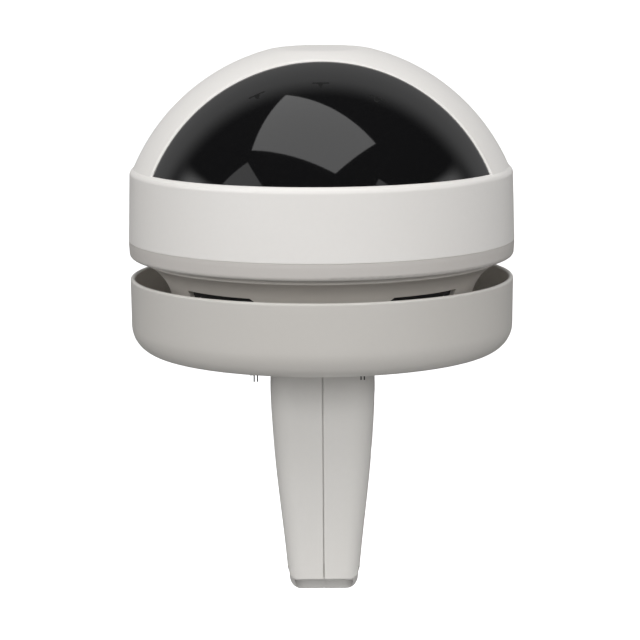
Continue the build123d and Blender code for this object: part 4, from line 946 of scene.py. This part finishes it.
smoked = new_finish("smoked_pane", IOR=1.58)
dust = speckle(smoked, 2400, -2.2, 0.9, detail=1.0)
hairline = speckle(smoked, 60, -1.6, 0.6, stretch=(1, 1, 30), detail=8.0)
paint(
    smoked,
    Base_Color=over(smoked, dust, (0.0042, 0.0042, 0.0046), (0.011, 0.011, 0.011)),
    Roughness=speckle(smoked, 24, 0.035, 0.06),
    Normal=relief(smoked, hairline, 0.0002 * mm),
)
window_outline = arc(0, 0, window_r, -90, latitude(window_r, arch_depth - seam - 0.25 * mm), 60)
edge_depth, flange_depth = arch_depth - seam, arch_depth + 5 * mm
window_outline += [((window_r - 0.12 * mm) * math.cos(math.asin(edge_depth / window_r)), edge_depth)]
window_outline += arc(0, 0, flange_r, latitude(flange_r, edge_depth), latitude(flange_r, flange_depth), 3)
window_outline += arc(0, 0, window_r - pane, latitude(window_r - pane, flange_depth), -90, 60)
window = turned("window_pane", window_outline, smoked, 256, 25.0)
window.data.transform(leaning)
sliced(window, (0, 0, shoulder_z), (0, 0, 1))
skirt_high = shoulder_z + 0.02 * mm
skirt_r = math.sqrt(window_r**2 - (shoulder_z - ball_z) ** 2)
skirt_in = math.sqrt((window_r - pane) ** 2 - (shoulder_z - ball_z) ** 2)
skirt_low = shoulder_z - 7 * mm
skirt_outline = [(skirt_in, skirt_low), (skirt_r, skirt_low), (skirt_r, skirt_high), (skirt_in, skirt_high)]
skirt = turned("skirt", skirt_outline, smoked, 256)
sliced(skirt, Vector((0, arch_y, shoulder_z)) - back_axis * seam, -back_axis)
joined(window, skirt)
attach(window, "head")
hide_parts("smoked_window")
matt_black = moulded_black("clip_black", (0.006, 0.006, 0.006), 0.62, 0.02 * mm)
matt_black.node_tree.nodes["Principled BSDF"].inputs["Specular IOR Level"].default_value = 0.15
dress(matt_black, "window_clips")


# ---- White dome cover ----
# The glossy white moulding: a band with draft, and the dome's back with the arch that frames the window. Its top is
# flattened a little, with a soft edge, and four posts inside take the screws that come up through the tray.
white_shell = moulded_white("white_shell", (0.815, 0.795, 0.770), (0.795, 0.772, 0.742), 0.31)
dome_r, shell, lip_r = 95.8 * mm, 2.5 * mm, 0.45 * mm
band_low, band_low_r, band_top_r, band_in_r, round_r = 157.6 * mm, 90.5 * mm, 89.8 * mm, 87.3 * mm, 3.2 * mm
lip_depth = arch_depth + lip_r
dome_outline = arc(0, 0, dome_r, 90, latitude(dome_r, lip_depth), 100)
lip_lat = math.radians(latitude(dome_r - lip_r, lip_depth))
lip_spot = ((dome_r - lip_r) * math.cos(lip_lat), (dome_r - lip_r) * math.sin(lip_lat))
dome_outline += arc(lip_spot[0], lip_spot[1], lip_r, math.degrees(lip_lat) - 8, -90, 6)
dome_outline += [((dome_r - shell / 2) * math.cos(math.asin(arch_depth / (dome_r - shell / 2))), arch_depth)]
dome_outline += arc(0, 0, dome_r - shell, latitude(dome_r - shell, arch_depth), 90, 100)
cover = turned("dome_cover_shell", dome_outline, white_shell, 256, 40.0)
cover.data.transform(leaning)
sliced(cover, (0, 0, 190.0 * mm), (0, 0, 1))
top_z, softness = 246.85 * mm, 0.25 * mm
for corner in cover.data.vertices:
    outer = (corner.co - ball_centre).length > dome_r - shell / 2
    ceiling = top_z if outer else top_z - shell
    drop = (corner.co.z - ceiling) / softness
    if drop > -8:
        corner.co.z = ceiling - softness * (math.log1p(math.exp(-abs(drop))) + max(0.0, -drop))
centre_r, centre_z = band_top_r - round_r, shoulder_z - round_r
end = math.degrees(math.acos((band_in_r - centre_r) / round_r))
foot = 0.3 * mm
band_outline = [(band_in_r, band_low), (band_low_r - foot - 0.5 * mm, band_low)]
band_outline += arc(band_low_r - foot, band_low + foot, foot, -90, 0, 4)
band_outline += [(band_low_r - 0.01 * mm, band_low + 0.8 * mm), (band_top_r + 0.01 * mm, centre_z - 0.8 * mm)]
band_outline += arc(centre_r, centre_z, round_r, 0, end, 12)
band = turned("band", band_outline, white_shell, 256)
post_circle, post_low, hole_top, post_high = 80.5 * mm, 153.4 * mm, 172.0 * mm, 178.0 * mm
post_r, hole_r = 3.8 * mm, 1.5 * mm
turns = [math.radians(t) for t in (40, 140, 220, 320)]
post_spots = [(post_circle * math.cos(a), post_circle * math.sin(a), 0) for a in turns]
post_outline = [(hole_r, post_low), (post_r, post_low), (post_r, post_high)]
post_outline += [(0, post_high), (0, hole_top), (hole_r, hole_top)]
post = turned("post", post_outline, white_shell, 32)
cover_posts = set_out("cover_posts", post, post_spots, [(0, 0, 1)] * 4, white_shell)
joined(cover, band, cover_posts)
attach(cover, "head")
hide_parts("dome_cover")
